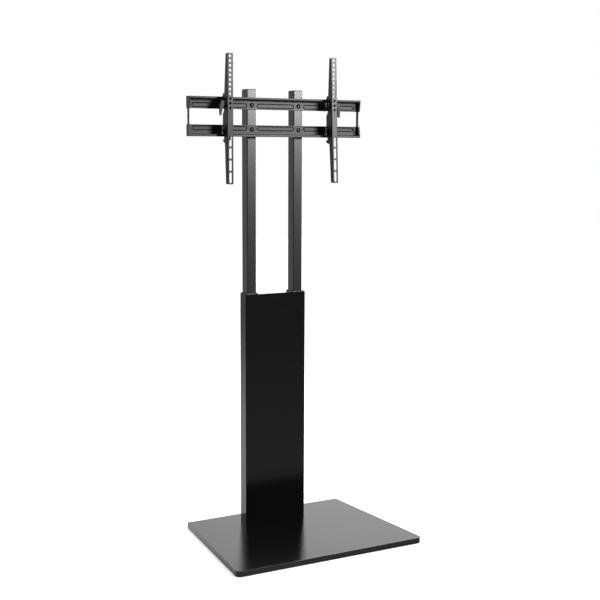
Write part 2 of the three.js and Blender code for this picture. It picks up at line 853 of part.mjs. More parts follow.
// The hooked hanger between an arm's flanges, drawn in the arm's own places.
function makeHanger({ name }) {
  const top = railHalf + hanger.hookRise;
  const bottom = -railHalf - hanger.bottomDrop;
  const lipFront = hanger.standoff - fit.running;
  const lipBack = hanger.standoff + rail.wall + fit.running;
  const hookBack = lipBack + hanger.hookWidth;
  const ledgeTop = railHalf - rail.lipHeight;
  const innerEdge = ledgeTop - hanger.railClear;
  const side = outline([
    [hanger.topFront, pivot.height + hanger.kneeHeight],
    [hanger.topFront, pivot.height - hanger.shinHeight],
    [hanger.lockFront, lock.height],
    [hanger.bottomFront, bottom],
    [hanger.bottomBack, bottom],
    [hanger.bottomBack, -railHalf],
    [lipFront, -railHalf + lipFront - hanger.bottomBack],
    [lipFront, -innerEdge - (hanger.backDepth - lipFront) / 2],
    [hanger.backDepth, -innerEdge],
    [hanger.backDepth, hanger.backTop],
    [hanger.waistDepth, hanger.waistHeight],
    [lipFront, hanger.waistHeight + lipFront - hanger.waistDepth],
    [lipFront, railHalf + fit.running],
    [lipBack, railHalf + fit.running],
    [lipBack, railHalf - hanger.hookReach],
    [hookBack, railHalf - hanger.hookReach],
    [hookBack, railHalf + fit.running],
    [lipFront, top],
    [hanger.shoulderFront, top],
    [hanger.shoulderFront, pivot.height + hanger.shoulderHeight],
  ]);
  const radius = Math.hypot(lock.depth - pivot.depth, lock.height - pivot.height);
  const rest = Math.atan2(lock.height - pivot.height, lock.depth - pivot.depth);
  const path = new THREE.Shape();
  const from = rest - THREE.MathUtils.degToRad(tilt.backward + tilt.slack);
  const to = rest + THREE.MathUtils.degToRad(tilt.forward + tilt.slack);
  const slotHalf = m6.shank + fit.running;
  path.absarc(pivot.depth, pivot.height, radius + slotHalf, from, to, false);
  path.absarc(pivot.depth, pivot.height, radius - slotHalf, to, from, true);
  const ends = [from, to].map((angle) => [
    pivot.depth + radius * Math.cos(angle),
    pivot.height + radius * Math.sin(angle),
  ]);
  const past = hangerHalf + fit.overrun;
  const shape = combine({
    of: alongX(side, -hangerHalf, hangerHalf),
    cut: [
      alongX(
        outline([
          [0, bottom - fit.overrun],
          [hanger.backDepth - hanger.wall, bottom - fit.overrun],
          [hanger.backDepth - hanger.wall, railHalf - hanger.hookReach - fit.overrun],
          [hookBack + fit.overrun, railHalf - hanger.hookReach - fit.overrun],
          [hookBack + fit.overrun, top + fit.overrun],
          [0, top + fit.overrun],
        ]),
        -hangerInner,
        hangerInner,
      ),
      rodX(m8.shank + screwClearance, -past, past, pivot.depth, pivot.height),
      alongX(path, -past, past, facets.slot),
      ...ends.map(([y, z]) => rodX(slotHalf, -past, past, y, z)),
      rodX(latch.pinRadius + screwClearance, -past, past, latch.pinDepth, latchPinZ()),
    ],
  });
  return piece(`${name}_hanger`, shape, finish.steel);
}

function latchPinZ() {
  return -railHalf;
}

// The catch under the lower rail. It hangs open; pushed up, its tip goes behind the rail's lip.
function makeLatch({ name }) {
  const lipBack = hanger.standoff + rail.wall + fit.running;
  const back = lipBack + latch.tipWidth;
  const half = hangerInner - fit.running;
  const seatZ = -railHalf - fit.running - latch.travel;
  const bottom = seatZ - latch.toeHeight;
  const side = outline([
    [latch.front, latchPinZ() + latch.topRise],
    [latch.front, bottom],
    [latch.heelDepth, bottom],
    [back, seatZ],
    [back, seatZ + latch.tipHeight],
    [lipBack, seatZ + latch.tipHeight],
    [lipBack, seatZ],
    [latch.neck, seatZ],
    [latch.neck, latchPinZ() + latch.topRise],
  ]);
  const trackRadius = latch.pinRadius + fit.running;
  const track = slotOutline(latch.travel + 2 * trackRadius, trackRadius);
  const slot = alongX(track, -half - fit.overrun, half + fit.overrun, facets.slot)
    .rotateX(Math.PI / 2)
    .translate(0, latch.pinDepth, latchPinZ() - latch.travel / 2);
  return piece(`${name}_latch`, combine({ of: alongX(side, -half, half), cut: [slot] }), finish.plastic);
}

function makeLatchPin({ name }) {
  const half = hangerHalf - fit.seat;
  const rod = rodX(latch.pinRadius, -half, half, latch.pinDepth, latchPinZ());
  return piece(`${name}_latch_pin`, rod, finish.screw);
}

// The lever on the pivot bolt's outer end: a hub and a paddle that hangs from it.
function makeLever({ name, sign }) {
  const start = armHalf + fit.seat;
  const drop = lever.length - lever.tipRadius;
  const swell = (lever.hubRadius - lever.tipRadius) / drop;
  const tangent = Math.asin(swell);
  const teardrop = new THREE.Shape();
  teardrop.absarc(0, 0, lever.hubRadius, -tangent, Math.PI + tangent, false);
  teardrop.absarc(0, -drop, lever.tipRadius, Math.PI + tangent, 2 * Math.PI - tangent, false);
  const front = outline([
    [start, lever.hubRadius],
    [start + lever.hubOuterWidth, lever.hubRadius],
    [start + lever.wing, -lever.hubRadius],
    [start + lever.wing, -lever.length],
    [start + lever.wing - lever.tipThickness, -lever.length],
    [start + lever.hubInnerWidth, -lever.wingDrop],
    [start, -lever.hubRadius],
  ].map(([x, z]) => [sign * x, z]));
  const shape = combine({
    of: alongX(teardrop, 0, sign * (start + lever.wing + fit.overrun), facets.hole),
    keep: [alongY(front, -2 * lever.hubRadius, 2 * lever.hubRadius)],
    cut: [rodX(m8.shank + screwClearance, 0, sign * (start + lever.boreDepth), 0, 0)],
  });
  return piece(`${name}_lever`, shape, finish.plastic);
}

function makeArmSet(side) {
  const { name, sign } = side;
  const set = new THREE.Group();
  const shift = sign > 0 ? 0 : arm.leftShift;
  set.position.set(sign * arm.spacing / 2 + shift, armFrontY, mount.height);

  const pivotReach = arm.width + 2 * fit.seat + lever.boreDepth - screwClearance;
  const pivotBolt = crossBolt(`${name}_pivot_bolt`, m8, pivotReach, -sign);
  pivotBolt.position.y = pivot.depth;
  pivotBolt.position.z = pivot.height;

  const handle = new THREE.Group();
  handle.position.set(0, pivot.depth, pivot.height);
  handle.add(makeLever(side));

  const tilting = new THREE.Group();
  tilting.position.set(0, pivot.depth, pivot.height);
  tilting.rotation.x = sign > 0 ? THREE.MathUtils.degToRad(tilt.rightAtRest) : 0;
  const locking = new THREE.Group();
  locking.position.set(0, lock.depth - pivot.depth, lock.height - pivot.height);
  locking.add(
    crossBolt(`${name}_lock_bolt`, m6, arm.width + 2 * fit.seat + nutM6.height, sign),
    makeLockNut(`${name}_lock_nut`, -sign),
  );
  tilting.add(makeArm(side), locking);

  set.add(makeHanger(side), makeLatch(side), makeLatchPin(side), pivotBolt, handle, tilting);
  return set;
}

const stand = new THREE.Group();
stand.name = "television_stand";
stand.add(
  makePlate(),
  ...makePads(),
  ...makeBaseBolts(),
  makeFootPlate(),
  makeBrace("brace_upper", upperBraceZ, []),
  makeBrace("brace_lower", brace.lowerHeight, coverScrewHoles()),
  makeCover(),
  makeCoverHook(),
);
sides.forEach((side) => {
  stand.add(
    makeSleeve(side),
    makeCollar(side),
    makeClampBolt(side),
    makeCoverScrew(side),
    makePost(side),
    makePostCap(side),
    makeGlide(side),
    makeEndPlate(side),
    makeArmSet(side),
  );
});
levels.forEach((level) => {
  stand.add(makeRail(level), ...makeRailBolts(level), ...makeRivets(level), ...makeEndCaps(level));
});

export default stand;
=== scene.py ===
import math

import bmesh
import bpy
from mathutils import Matrix, Vector
from mathutils.geometry import delaunay_2d_cdt


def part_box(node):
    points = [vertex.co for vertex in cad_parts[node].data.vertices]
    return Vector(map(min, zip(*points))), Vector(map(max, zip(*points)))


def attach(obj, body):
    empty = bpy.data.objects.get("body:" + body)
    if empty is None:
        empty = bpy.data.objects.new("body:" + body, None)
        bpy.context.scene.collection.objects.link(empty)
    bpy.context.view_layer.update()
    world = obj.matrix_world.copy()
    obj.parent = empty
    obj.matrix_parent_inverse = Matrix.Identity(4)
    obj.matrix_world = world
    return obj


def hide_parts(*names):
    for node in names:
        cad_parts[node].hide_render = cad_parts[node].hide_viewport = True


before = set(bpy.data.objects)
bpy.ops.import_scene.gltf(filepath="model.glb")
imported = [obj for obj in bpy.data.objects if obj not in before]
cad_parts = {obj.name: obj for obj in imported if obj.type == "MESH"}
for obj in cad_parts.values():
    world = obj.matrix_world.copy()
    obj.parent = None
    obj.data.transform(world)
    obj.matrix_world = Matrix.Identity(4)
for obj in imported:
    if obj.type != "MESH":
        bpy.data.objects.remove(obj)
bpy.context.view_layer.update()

# Floor stand for a television: a lacquered board, two telescopic posts behind a
# folded cover, and two hooked rails with sliding, tilting bracket arms.
# Sizes and places are in millimetres, as in the drawing of its solids.
MM = 0.001

# Points nearer than the weld are one point. Neighbours stand a gap apart. A
# cutter reaches past what it cuts by the overrun.
WELD = 0.002
GAP = 0.2
OVERRUN = 3
# Faces of the drawing's solids that lie within so many degrees of each other are one.
FLAT_WITHIN = 0.5
ROUND_STEPS = 48
# The radii and sides of the bores, and how far edges are softened.
BORES = {"m8": (4.25, 32), "m6": (3.25, 24), "m4": (2.25, 24), "rivet": (2.15, 20)}
EASED = {
    "slab": 0.5, "cover": 0.2, "bar": 0.4, "folded": 0.3, "end_cap": 0.7, "lever": 0.8, "catch": 0.4,
    "tube_end": 0.4,
}

PLATE = {"front": 682, "rear": 592, "depth": 502, "bottom": 1.7, "top": 19.7, "edge": 0.6}
PLATE_CORNERS = {"front": 18, "rear": 3}
PLATE_SEAT = {"radius": 8.05, "top": 6.75}
PAD = {"radius": 16, "height": 1.5, "inset": 42, "lower_edge": 0.4, "upper_edge": 0.3}
FOOT = {"width": 212, "depth": 46, "corner": 3, "bottom": 19.9, "top": 25.9}
FOOT_BOLTS = [(-50, 175.4), (50, 175.4), (50, 199.4), (-50, 199.4)]

COLUMN = {"x": 87.5, "y": 187.4}
COVER = {"half": 114, "front": 160, "rear": 202.5, "wall": 2, "bend": 2.5, "bottom": 19.9, "top": 812.9}
COVER_SCREW = {"x": 42, "z": 120}
COVER_HOOK = {"half": 45, "drop": 12, "wall": 2, "bend": 2, "inner_bend": 0.3}
BRACE = {"half": 68.05, "height": 40, "front": 167, "rear": 171}
BRACE_BOTTOMS = (("upper", 720.9), ("lower", 100))
SLEEVE = {"width": 38.5, "depth": 47, "wall": 2, "corner": 4, "bottom": 26.1, "top": 811.7}
CLAMP = {"z": 769.7, "boss": 9, "length": 6, "weld": 10.6, "weld_length": 1.2, "root": 1}
COLLAR = {"width": 46, "depth": 50, "corner": 5, "bottom": 785.9, "top": 815.9, "slide": 0.6, "hold": 0.4}
COLLAR_MOUTH = {"wider": 1, "drop": 0.6, "corner": 1, "rim_corner": 1.5}
POST = {"width": 33.5, "depth": 42, "wall": 2, "corner": 3, "bottom": 494.9, "top": 1494.9}
PLUG = {"gap": 0.4, "corner": 1, "bore_corner": 0.6, "middle": 4, "middle_corner": 0.2}
CAP = {"flange": 2, "wider": 0, "wall": 2}
GLIDE = {"flange": 4, "wider": 0.4, "wall": 2.5}
# A rim's rings: how much narrower each is, how much smaller its corners are, and how
# far it lies from the end face.
COLLAR_FOOT_RIM = ((0.8, 0.4, 0), (0, 0, 0.4))
COLLAR_TOP_RIM = ((0, 0, 1.2), (0.7, 0.3, 0.35), (2.2, 1, 0))
FLANGE_RIM = ((2, 0.8, 0), (0.6, 0.2, 0.25), (0, 0, 0.9))

RAIL = {"half": 317.6, "middle": 1404.3, "reach": 64.3, "back": 166.2, "web": 163.7, "lip": 143.1}
RAIL_WALL = 2.5
RAIL_LIP = 8.5
RAIL_HEIGHT = 38.8
RAIL_BEND = {"outer": 3.4, "inner": 0.9, "web_edge": 0.5, "lip_edge": 0.6}
BEAD = {"from_lip": 27.2, "radius": 6.3, "half_width": 2.3, "depth": 1.7, "rise": 1.2, "inset": 1.7}
BEAD_SPANS = [(-303.2, -105.65), (-69.35, 69.35), (105.65, 303.2)]
BEAD_STEPS = 5
RAIL_BOLT = {"x": 87.5, "from_lip": 24.6}
END_RIVET = {"x": 310.2, "y": 161.3, "from_lip": 23.65}
END_CAP = {"wall": 3.4, "corner": 3, "slant": 5.5}

ARM_X = {"left": -192.4, "right": 194.5}
ARM_FRONT = 105.8
PIVOT = (123.8, 1449.0)
LOCK = (130.8, 1365.0)
RIGHT_TILT = math.radians(-2.6)
ARM = {"width": 22, "wall": 2, "top": 1605.7, "bottom": 1185.7, "corner": 4, "bend": 2.4, "inner_bend": 0.5}
ARM_BLANK = 40
LUG = {"pivot": 7, "lock": 5.5}
WIDE_FLANGE = {
    "top_depth": 11.5, "drop": 128, "depth": 23.5, "waist_depth": 20, "waist_drop": 292, "bottom_depth": 12.5,
}
NARROW_FLANGE = {"top_depth": 8, "drop": 134, "depth": 15.5, "waist_depth": 12, "bottom_depth": 6.2}
PERFORATIONS = {
    "Hole Radius": 4.5, "Hole Pitch": 15, "Slot Length": 34.5, "Slot Pitch": 39.2, "Cut Depth": 12,
}
PERFORATION_COUNTS = {"Holes": 12, "Slots": 4}
FIRST_DROP = {"hole": 9.6, "slot": 281}
LEVER = {"hub": 7.5, "tip": 4, "length": 41.5, "shoulder": 12.5, "paddle": 14, "reach": 18.6, "bore": 5}
LEVER_NECK = {"out": 8.5, "down": 12}
LEVER_BENDS = [0, 2, 5, 1, 1, 6, 0]
CATCH_PIN = {"radius": 2.5, "end_radius": 2.1, "chamfer": 0.4}
NUT = {"radius": 5.8, "height": 5, "chamfer": 0.5, "chamfer_radius": 5.9, "face_radius": 5.2}

SIDES = (("left", -1), ("right", 1))
LEVELS = (("upper", 1), ("lower", -1))


# Outlines


def arc(centre, radius, start, end, steps):
    return [
        (
            centre[0] + radius * math.cos(start + (end - start) * step / steps),
            centre[1] + radius * math.sin(start + (end - start) * step / steps),
        )
        for step in range(steps + 1)
    ]


def rounded(corners, radii, steps=6):
    """The outline of a polygon whose corners are rounded, alike or each by its own radius."""
    outline = []
    for index, corner in enumerate(corners):
        radius = radii[index] if isinstance(radii, (list, tuple)) else radii
        here = Vector(corner)
        if radius <= 0:
            outline.append(tuple(here))
            continue
        before = (Vector(corners[index - 1]) - here).normalized()
        after = (Vector(corners[(index + 1) % len(corners)]) - here).normalized()
        half = before.angle(after) / 2
        centre = here + (before + after).normalized() * radius / math.sin(half)
        first = here + before * radius / math.tan(half) - centre
        last = here + after * radius / math.tan(half) - centre
        start = math.atan2(first.y, first.x)
        sweep = math.atan2(last.y, last.x) - start
        sweep = (sweep + math.pi) % (2 * math.pi) - math.pi
        outline += arc(centre, radius, start, start + sweep, steps)
    return outline


def box_outline(centre, width, depth, radius, steps=6):
    (u, v), a, b = centre, width / 2, depth / 2
    return rounded([(u - a, v - b), (u + a, v - b), (u + a, v + b), (u - a, v + b)], radius, steps)


def box_ring(centre, width, depth, radius, level):
    return [(x, y, level) for x, y in box_outline(centre, width, depth, radius, 8)]


def circle(centre, radius, steps=32):
    return arc(centre, radius, 0, 2 * math.pi, steps)[:-1]


def stadium(start, end, height, radius, steps=12):
    """A slot's outline in X and Z, with its round ends between two places on X."""
    right = arc((end - radius, height), radius, -math.pi / 2, math.pi / 2, steps)
    left = arc((start + radius, height), radius, math.pi / 2, 3 * math.pi / 2, steps)
    return right + left


def span(first, second):
    """Two places on one axis, the lower one first."""
    return min(first, second), max(first, second)


# Meshes

AXES = {
    "X": lambda u, v, w: (w, u, v),
    "Y": lambda u, v, w: (u, w, v),
    "Z": lambda u, v, w: (u, v, w),
}


def new_object(name, data):
    made = bpy.data.objects.new(name, data)
    bpy.context.scene.collection.objects.link(made)
    return made


def finished_mesh(sheet, name):
    bmesh.ops.remove_doubles(sheet, verts=sheet.verts, dist=WELD * MM)
    bmesh.ops.recalc_face_normals(sheet, faces=sheet.faces)
    mesh = bpy.data.meshes.new(name)
    sheet.to_mesh(mesh)
    sheet.free()
    return mesh


def add_points(sheet, points):
    return [sheet.verts.new(Vector(point) * MM) for point in points]


def add_quads(sheet, low, high):
    for index in range(len(low)):
        after = (index + 1) % len(low)
        sheet.faces.new([low[index], low[after], high[after], high[index]])


def loft(name, rings, looped=True):
    """A solid through rings of points, which meet in a loop or end in two faces."""
    sheet = bmesh.new()
    made = [add_points(sheet, ring) for ring in rings]
    for low, high in zip(made, made[1:]):
        add_quads(sheet, low, high)
    if looped:
        add_quads(sheet, made[-1], made[0])
    else:
        sheet.faces.new(made[0])
        sheet.faces.new(made[-1])
    return new_object(name, finished_mesh(sheet, name))


def prism(name, outline, axis, low, high):
    """A solid: the outline drawn out along one axis."""
    rings = [[AXES[axis](u, v, level) for u, v in outline] for level in (low, high)]
    return loft(name, rings, looped=False)


def bores(size, places, axis, low, high):
    """Cutters for round holes of one size."""
    return [prism("bore", circle(place, *BORES[size]), axis, low, high) for place in places]


def settle(piece):
    """Turns a piece and its modifiers into one plain mesh."""
    graph = bpy.context.evaluated_depsgraph_get()
    mesh = bpy.data.meshes.new_from_object(piece.evaluated_get(graph))
    piece.modifiers.clear()
    old = piece.data
    piece.data = mesh
    bpy.data.meshes.remove(old)
    return piece


def combine(piece, others, operation):
    for other in others:
        step = piece.modifiers.new(operation, "BOOLEAN")
        step.operation, step.solver, step.object = operation, "EXACT", other
    settle(piece)
    for other in others:
        bpy.data.objects.remove(other)


def cut(piece, *others):
    combine(piece, others, "DIFFERENCE")


def keep(piece, *others):
    combine(piece, others, "INTERSECT")


def join(piece, *others):
    combine(piece, others, "UNION")


def turned(piece, angle):
    """Turns a piece about the tilt pivot."""
    pivot = Vector((0, *PIVOT)) * MM
    piece.data.transform(
        Matrix.Translation(pivot) @ Matrix.Rotation(angle, 4, "X") @ Matrix.Translation(-pivot)
    )
    return piece


def cad_copy(name, node):
    """A merged copy of a solid from the drawing, to be softened and finished."""
    sheet = bmesh.new()
    sheet.from_mesh(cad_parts[node].data)
    bmesh.ops.remove_doubles(sheet, verts=sheet.verts, dist=WELD * MM)
    bmesh.ops.dissolve_limit(
        sheet, angle_limit=math.radians(FLAT_WITHIN), verts=sheet.verts, edges=sheet.edges
    )
    mesh = bpy.data.meshes.new(name)
    sheet.to_mesh(mesh)
    sheet.free()
    return new_object(name, mesh)


def cad_span(node, axis):
    """Where a solid of the drawing starts and ends along X, Y or Z."""
    low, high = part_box(node)
    index = "XYZ".index(axis)
    return low[index] / MM, high[index] / MM


def soften(piece, width, segments=2, angle=35):
    step = piece.modifiers.new("softened_edges", "BEVEL")
    step.width, step.segments = width * MM, segments
    step.limit_method, step.angle_limit = "ANGLE", math.radians(angle)
    step.use_clamp_overlap = True
    step.miter_outer = "MITER_ARC"
    return settle(piece)


def dress(piece, nodes, body, material, angle=32):
    """Gives a piece its finish, ties it to its body, and hides the drawing's solids that it shows."""
    piece.data.materials.clear()
    piece.data.materials.append(material)
    for polygon in piece.data.polygons:
        polygon.use_smooth = True
    piece.data.set_sharp_from_angle(angle=math.radians(angle))
    step = piece.modifiers.new("flat_faces_stay_flat", "WEIGHTED_NORMAL")
    step.keep_sharp, step.weight = True, 100
    settle(piece)
    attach(piece, body)
    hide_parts(*nodes)


# Nodes


def add_node(tree, kind, settings=None, inputs=None):
    """Adds a node, sets it up, and links or fills its sockets.

    Where a node is given as a value its first output is linked, and where a list
    is given all of it goes into the one socket.
    """
    made = tree.nodes.new(kind)
    for name, value in (settings or {}).items():
        setattr(made, name, value)
    for name, values in (inputs or {}).items():
        for value in values if isinstance(values, list) else [values]:
            if isinstance(value, bpy.types.Node):
                value = value.outputs[0]
            if isinstance(value, bpy.types.NodeSocket):
                tree.links.new(value, made.inputs[name])
            else:
                made.inputs[name].default_value = value
    return made


def linear(code):
    """A colour given as sRGB hex, as the linear values a shader takes."""
    parts = [int(code[at:at + 2], 16) / 255 for at in (1, 3, 5)]
    return (*(p / 12.92 if p <= 0.04045 else ((p + 0.055) / 1.055) ** 2.4 for p in parts), 1.0)


def coating(name, dark, light, rough, grain_mm, relief_mm, patch_mm, metallic=0.0, ior=1.5):
    """A coated surface: a fine grain in the height, and slow drift in colour and sheen."""
    material = bpy.data.materials.new(name)
    material.use_nodes = True
    tree = material.node_tree
    tree.nodes.clear()
    place = add_node(tree, "ShaderNodeTexCoord").outputs["Object"]
    grain = add_node(
        tree, "ShaderNodeTexNoise",
        inputs={"Vector": place, "Scale": 1 / (grain_mm * MM), "Detail": 2.0, "Roughness": 0.5},
    )
    drift = add_node(
        tree, "ShaderNodeTexNoise",
        inputs={"Vector": place, "Scale": 1 / (patch_mm * MM), "Detail": 3.0, "Roughness": 0.6},
    )
    tint = add_node(
        tree, "ShaderNodeMix", {"data_type": "RGBA"},
        {"Factor": drift, 6: linear(dark), 7: linear(light)},
    ).outputs[2]
    sheen = add_node(
        tree, "ShaderNodeMapRange",
        inputs={"Value": drift, "From Min": 0.25, "From Max": 0.75, "To Min": rough[0], "To Max": rough[1]},
    )
    bump = add_node(
        tree, "ShaderNodeBump", inputs={"Height": grain, "Strength": 1.0, "Distance": relief_mm * MM}
    )
    surface = add_node(
        tree, "ShaderNodeBsdfPrincipled",
        inputs={"Base Color": tint, "Roughness": sheen, "Metallic": metallic, "IOR": ior, "Normal": bump},
    )
    add_node(tree, "ShaderNodeOutputMaterial", inputs={"Surface": surface})
    return material


# Finishes

# Steel with satin black powder coat: a fine, even orange peel that spreads highlights.
powder_coat = coating(
    "satin_black_powder_coat", "#0e0e0f", "#121213", (0.325, 0.345), 0.9, 0.012, 60,
)
# The mount's folded parts: a finely textured black powder coat, duller than the posts'.
bracket_coat = coating(
    "textured_black_powder_coat", "#0c0c0d", "#101011", (0.37, 0.41), 0.8, 0.012, 45, ior=1.36,
)
# Folded sheet in a smoother, deeper black powder coat, with clearer reflections.
cover_coat = coating(
    "fine_black_powder_coat", "#030304", "#040405", (0.145, 0.155), 0.7, 0.004, 140,
)
# Fibreboard under sprayed black lacquer: glossy, with an orange peel that blurs what
# it mirrors. The peel is drawn deeper than the real one, so that the blur shows.
board_lacquer = coating(
    "black_lacquered_fibreboard", "#010102", "#020203", (0.1, 0.112), 1.4, 0.14, 160,
)
# Screws in steel with a black oxide: dark metal with small highlights.
black_oxide = coating(
    "black_oxide_steel", "#3a3a3d", "#4a4a4e", (0.30, 0.40), 0.5, 0.008, 8, metallic=1.0,
)
# Injection-moulded nylon with a fine spark-eroded texture: matt, and a lighter black.
nylon = coating(
    "moulded_black_nylon", "#161617", "#1c1c1d", (0.50, 0.60), 0.5, 0.015, 30,
)
# Die-cut rubber feet: matt black with a coarse grain.
rubber = coating("black_foot_rubber", "#101010", "#1a1a1a", (0.85, 0.95), 0.8, 0.05, 12)


# Screws and rivets

SCREW_SIZES = ("Head Radius", "Head Height", "Dome Radius", "Socket Radius", "Socket Depth", "Shank Radius")
M8 = dict(zip(SCREW_SIZES, (7.4, 5, 9.6, 2.9, 3, 4)))
M8_FLAT = dict(zip(SCREW_SIZES, (7.8, 4.6, 14, 2.9, 2.6, 4)))
M6 = dict(zip(SCREW_SIZES, (5.6, 3.6, 7.6, 2.2, 2.2, 3)))
M4 = dict(zip(SCREW_SIZES, (3.8, 2.4, 5.2, 1.5, 1.4, 2)))
RIVET = dict(zip(SCREW_SIZES, (3.8, 1.6, 5.6, 1, 0.5, 1.9)))
SHANK = {"plate": 19.15, "cover": 9, "rail": 12, "rivet": 4.9, "pivot": 27.15, "lock": 27.4}
# The shank's middle, as a share of its length. It starts a hair inside the head, so that
# the two join into one solid.
SHANK_MIDDLE_SHARE = 0.49999


def new_tree(name, source, sizes, others):
    """A tree whose inputs are a geometry, sizes in millimetres, others and a finish."""
    tree = bpy.data.node_groups.new(name, "GeometryNodeTree")
    titles = [(source, "Geometry", None)]
    titles += [(size, "Float", value * MM) for size, value in sizes.items()]
    for title, kind, value in [*titles, *others, ("Finish", "Material", None)]:
        socket = tree.interface.new_socket(title, in_out="INPUT", socket_type=f"NodeSocket{kind}")
        if value is not None:
            socket.default_value = value
    tree.interface.new_socket("Geometry", in_out="OUTPUT", socket_type="NodeSocketGeometry")
    return tree, add_node(tree, "NodeGroupInput").outputs


def finish_tree(tree, geometry, finish):
    """Ends a tree in plain meshes that carry their finish."""
    solid = add_node(tree, "GeometryNodeRealizeInstances", inputs={"Geometry": geometry})
    coloured = add_node(tree, "GeometryNodeSetMaterial", inputs={"Geometry": solid, "Material": finish})
    add_node(tree, "NodeGroupOutput", inputs={0: coloured})


def fastener_tree():
    """A dome-headed screw or rivet on every point, its shank along the point's axis."""
    sizes = {**M8, "Shank Length": SHANK["rail"]}
    tree, given = new_tree("fasteners", "Places", sizes, [("Socket", "Bool", True)])

    solids = {}
    # A solid's middle is a share of one size away from the head's underside, and on the
    # head's side of it where the share is below nought.
    for name, sides, radius, length, stretch, share, size in (
        ("drum", 40, "Head Radius", "Head Height", 1, -0.5, "Head Height"),
        ("key", 6, "Socket Radius", "Socket Depth", 2, -1.0, "Head Height"),
        ("shank", 24, "Shank Radius", "Shank Length", 1, SHANK_MIDDLE_SHARE, "Shank Length"),
    ):
        solid = add_node(
            tree, "GeometryNodeMeshCylinder",
            inputs={"Vertices": sides, "Radius": given[radius], "Depth": given[length]},
        )
        middle = add_node(tree, "ShaderNodeMath", {"operation": "MULTIPLY"}, {0: given[size], 1: share})
        lift = add_node(tree, "ShaderNodeCombineXYZ", inputs={"Z": middle})
        solids[name] = add_node(
            tree, "GeometryNodeTransform",
            inputs={"Geometry": solid, "Translation": lift, "Scale": (1, 1, stretch)},
        )
    ball = add_node(
        tree, "GeometryNodeMeshUVSphere",
        inputs={"Segments": 40, "Rings": 96, "Radius": given["Dome Radius"]},
    )
    middle = add_node(
        tree, "ShaderNodeMath", {"operation": "SUBTRACT"},
        {0: given["Dome Radius"], 1: given["Head Height"]},
    )
    lift = add_node(tree, "ShaderNodeCombineXYZ", inputs={"Z": middle})
    dome = add_node(tree, "GeometryNodeTransform", inputs={"Geometry": ball, "Translation": lift})
    head = add_node(
        tree, "GeometryNodeMeshBoolean", {"operation": "INTERSECT", "solver": "EXACT"},
        {"Mesh 2": [dome, solids["drum"]]},
    )
    socketed = add_node(
        tree, "GeometryNodeMeshBoolean", {"operation": "DIFFERENCE", "solver": "EXACT"},
        {"Mesh 1": head, "Mesh 2": solids["key"]},
    )
    topped = add_node(
        tree, "GeometryNodeSwitch", {"input_type": "GEOMETRY"},
        {"Switch": given["Socket"], "False": head, "True": socketed},
    ).outputs["Output"]
    whole = add_node(
        tree, "GeometryNodeMeshBoolean", {"operation": "UNION", "solver": "EXACT"},
        {"Mesh 2": [solids["shank"], topped]},
    )
    axis = add_node(
        tree, "GeometryNodeInputNamedAttribute", {"data_type": "FLOAT_VECTOR"}, {"Name": "axis"}
    ).outputs["Attribute"]
    facing = add_node(tree, "FunctionNodeAlignRotationToVector", {"axis": "Z"}, {"Vector": axis})
    spread = add_node(
        tree, "GeometryNodeInstanceOnPoints",
        inputs={"Points": given["Places"], "Instance": whole, "Rotation": facing},
    )
    finish_tree(tree, spread, given["Finish"])
    return tree


def run_tree(piece, tree, values):
    """Puts a node tree on a piece, with values by name, and keeps the plain result."""
    step = piece.modifiers.new(tree.name, "NODES")
    step.node_group = tree
    for item in tree.interface.items_tree:
        if item.item_type == "SOCKET" and item.in_out == "INPUT" and item.name in values:
            step[item.identifier] = values[item.name]
    return settle(piece)


FASTENERS = fastener_tree()


def fasteners(name, sizes, length, places, axis, nodes, body, socket=True, tilt=0):
    """Screws or rivets of one size; a place is the underside of the head."""
    mesh = bpy.data.meshes.new(name)
    mesh.from_pydata([Vector(place) * MM for place in places], [], [])
    facing = mesh.attributes.new("axis", "FLOAT_VECTOR", "POINT")
    for item in facing.data:
        item.vector = axis
    values = {key: value * MM for key, value in {**sizes, "Shank Length": length}.items()}
    values["Socket"] = socket
    values["Finish"] = black_oxide
    piece = run_tree(new_object(name, mesh), FASTENERS, values)
    dress(turned(piece, tilt), nodes, body, black_oxide)


# Base

half_front, half_rear, half_depth = PLATE["front"] / 2, PLATE["rear"] / 2, PLATE["depth"] / 2


def board_ring(inset, level):
    """The plate's outline at one height, drawn in all round by the inset."""
    front, rear, depth = half_front - inset, half_rear - inset, half_depth - inset
    corners = [(-front, -depth), (front, -depth), (rear, depth), (-rear, depth)]
    radii = [PLATE_CORNERS[end] - inset for end in ("front", "front", "rear", "rear")]
    return [(x, y, level) for x, y in rounded(corners, radii, 20)]


def make_board():
    edge, bottom, top = PLATE["edge"], PLATE["bottom"], PLATE["top"]
    quarter, steps = math.pi / 2, 5
    profile = arc((0, bottom + edge), edge, -quarter, 0, steps)
    profile += arc((0, top - edge), edge, 0, quarter, steps)
    board = loft("base_board", [board_ring(edge - out, level) for out, level in profile], looped=False)
    under = bottom - OVERRUN
    seats = [circle(place, PLATE_SEAT["radius"]) for place in FOOT_BOLTS]
    cut(
        board, *bores("m8", FOOT_BOLTS, "Z", under, top + OVERRUN),
        *[prism("seat", seat, "Z", under, PLATE_SEAT["top"]) for seat in seats],
    )
    dress(board, ["base_plate"], "base", board_lacquer)


def make_pads():
    radius, height = PAD["radius"], PAD["height"]
    profile = (
        (radius - PAD["lower_edge"], 0), (radius, PAD["lower_edge"]),
        (radius, height - PAD["upper_edge"]), (radius - PAD["upper_edge"], height),
    )
    for row, half, y in (("front", half_front, -half_depth), ("rear", half_rear, half_depth)):
        for name, sign in SIDES:
            centre = (sign * (half - PAD["inset"]), y - math.copysign(PAD["inset"], y))
            piece = loft(f"pad_{row}_{name}", [
                [(px, py, level) for px, py in circle(centre, size, ROUND_STEPS)]
                for size, level in profile
            ], looped=False)
            dress(piece, [f"foot_pad_{row}_{name}"], "base", rubber, angle=50)


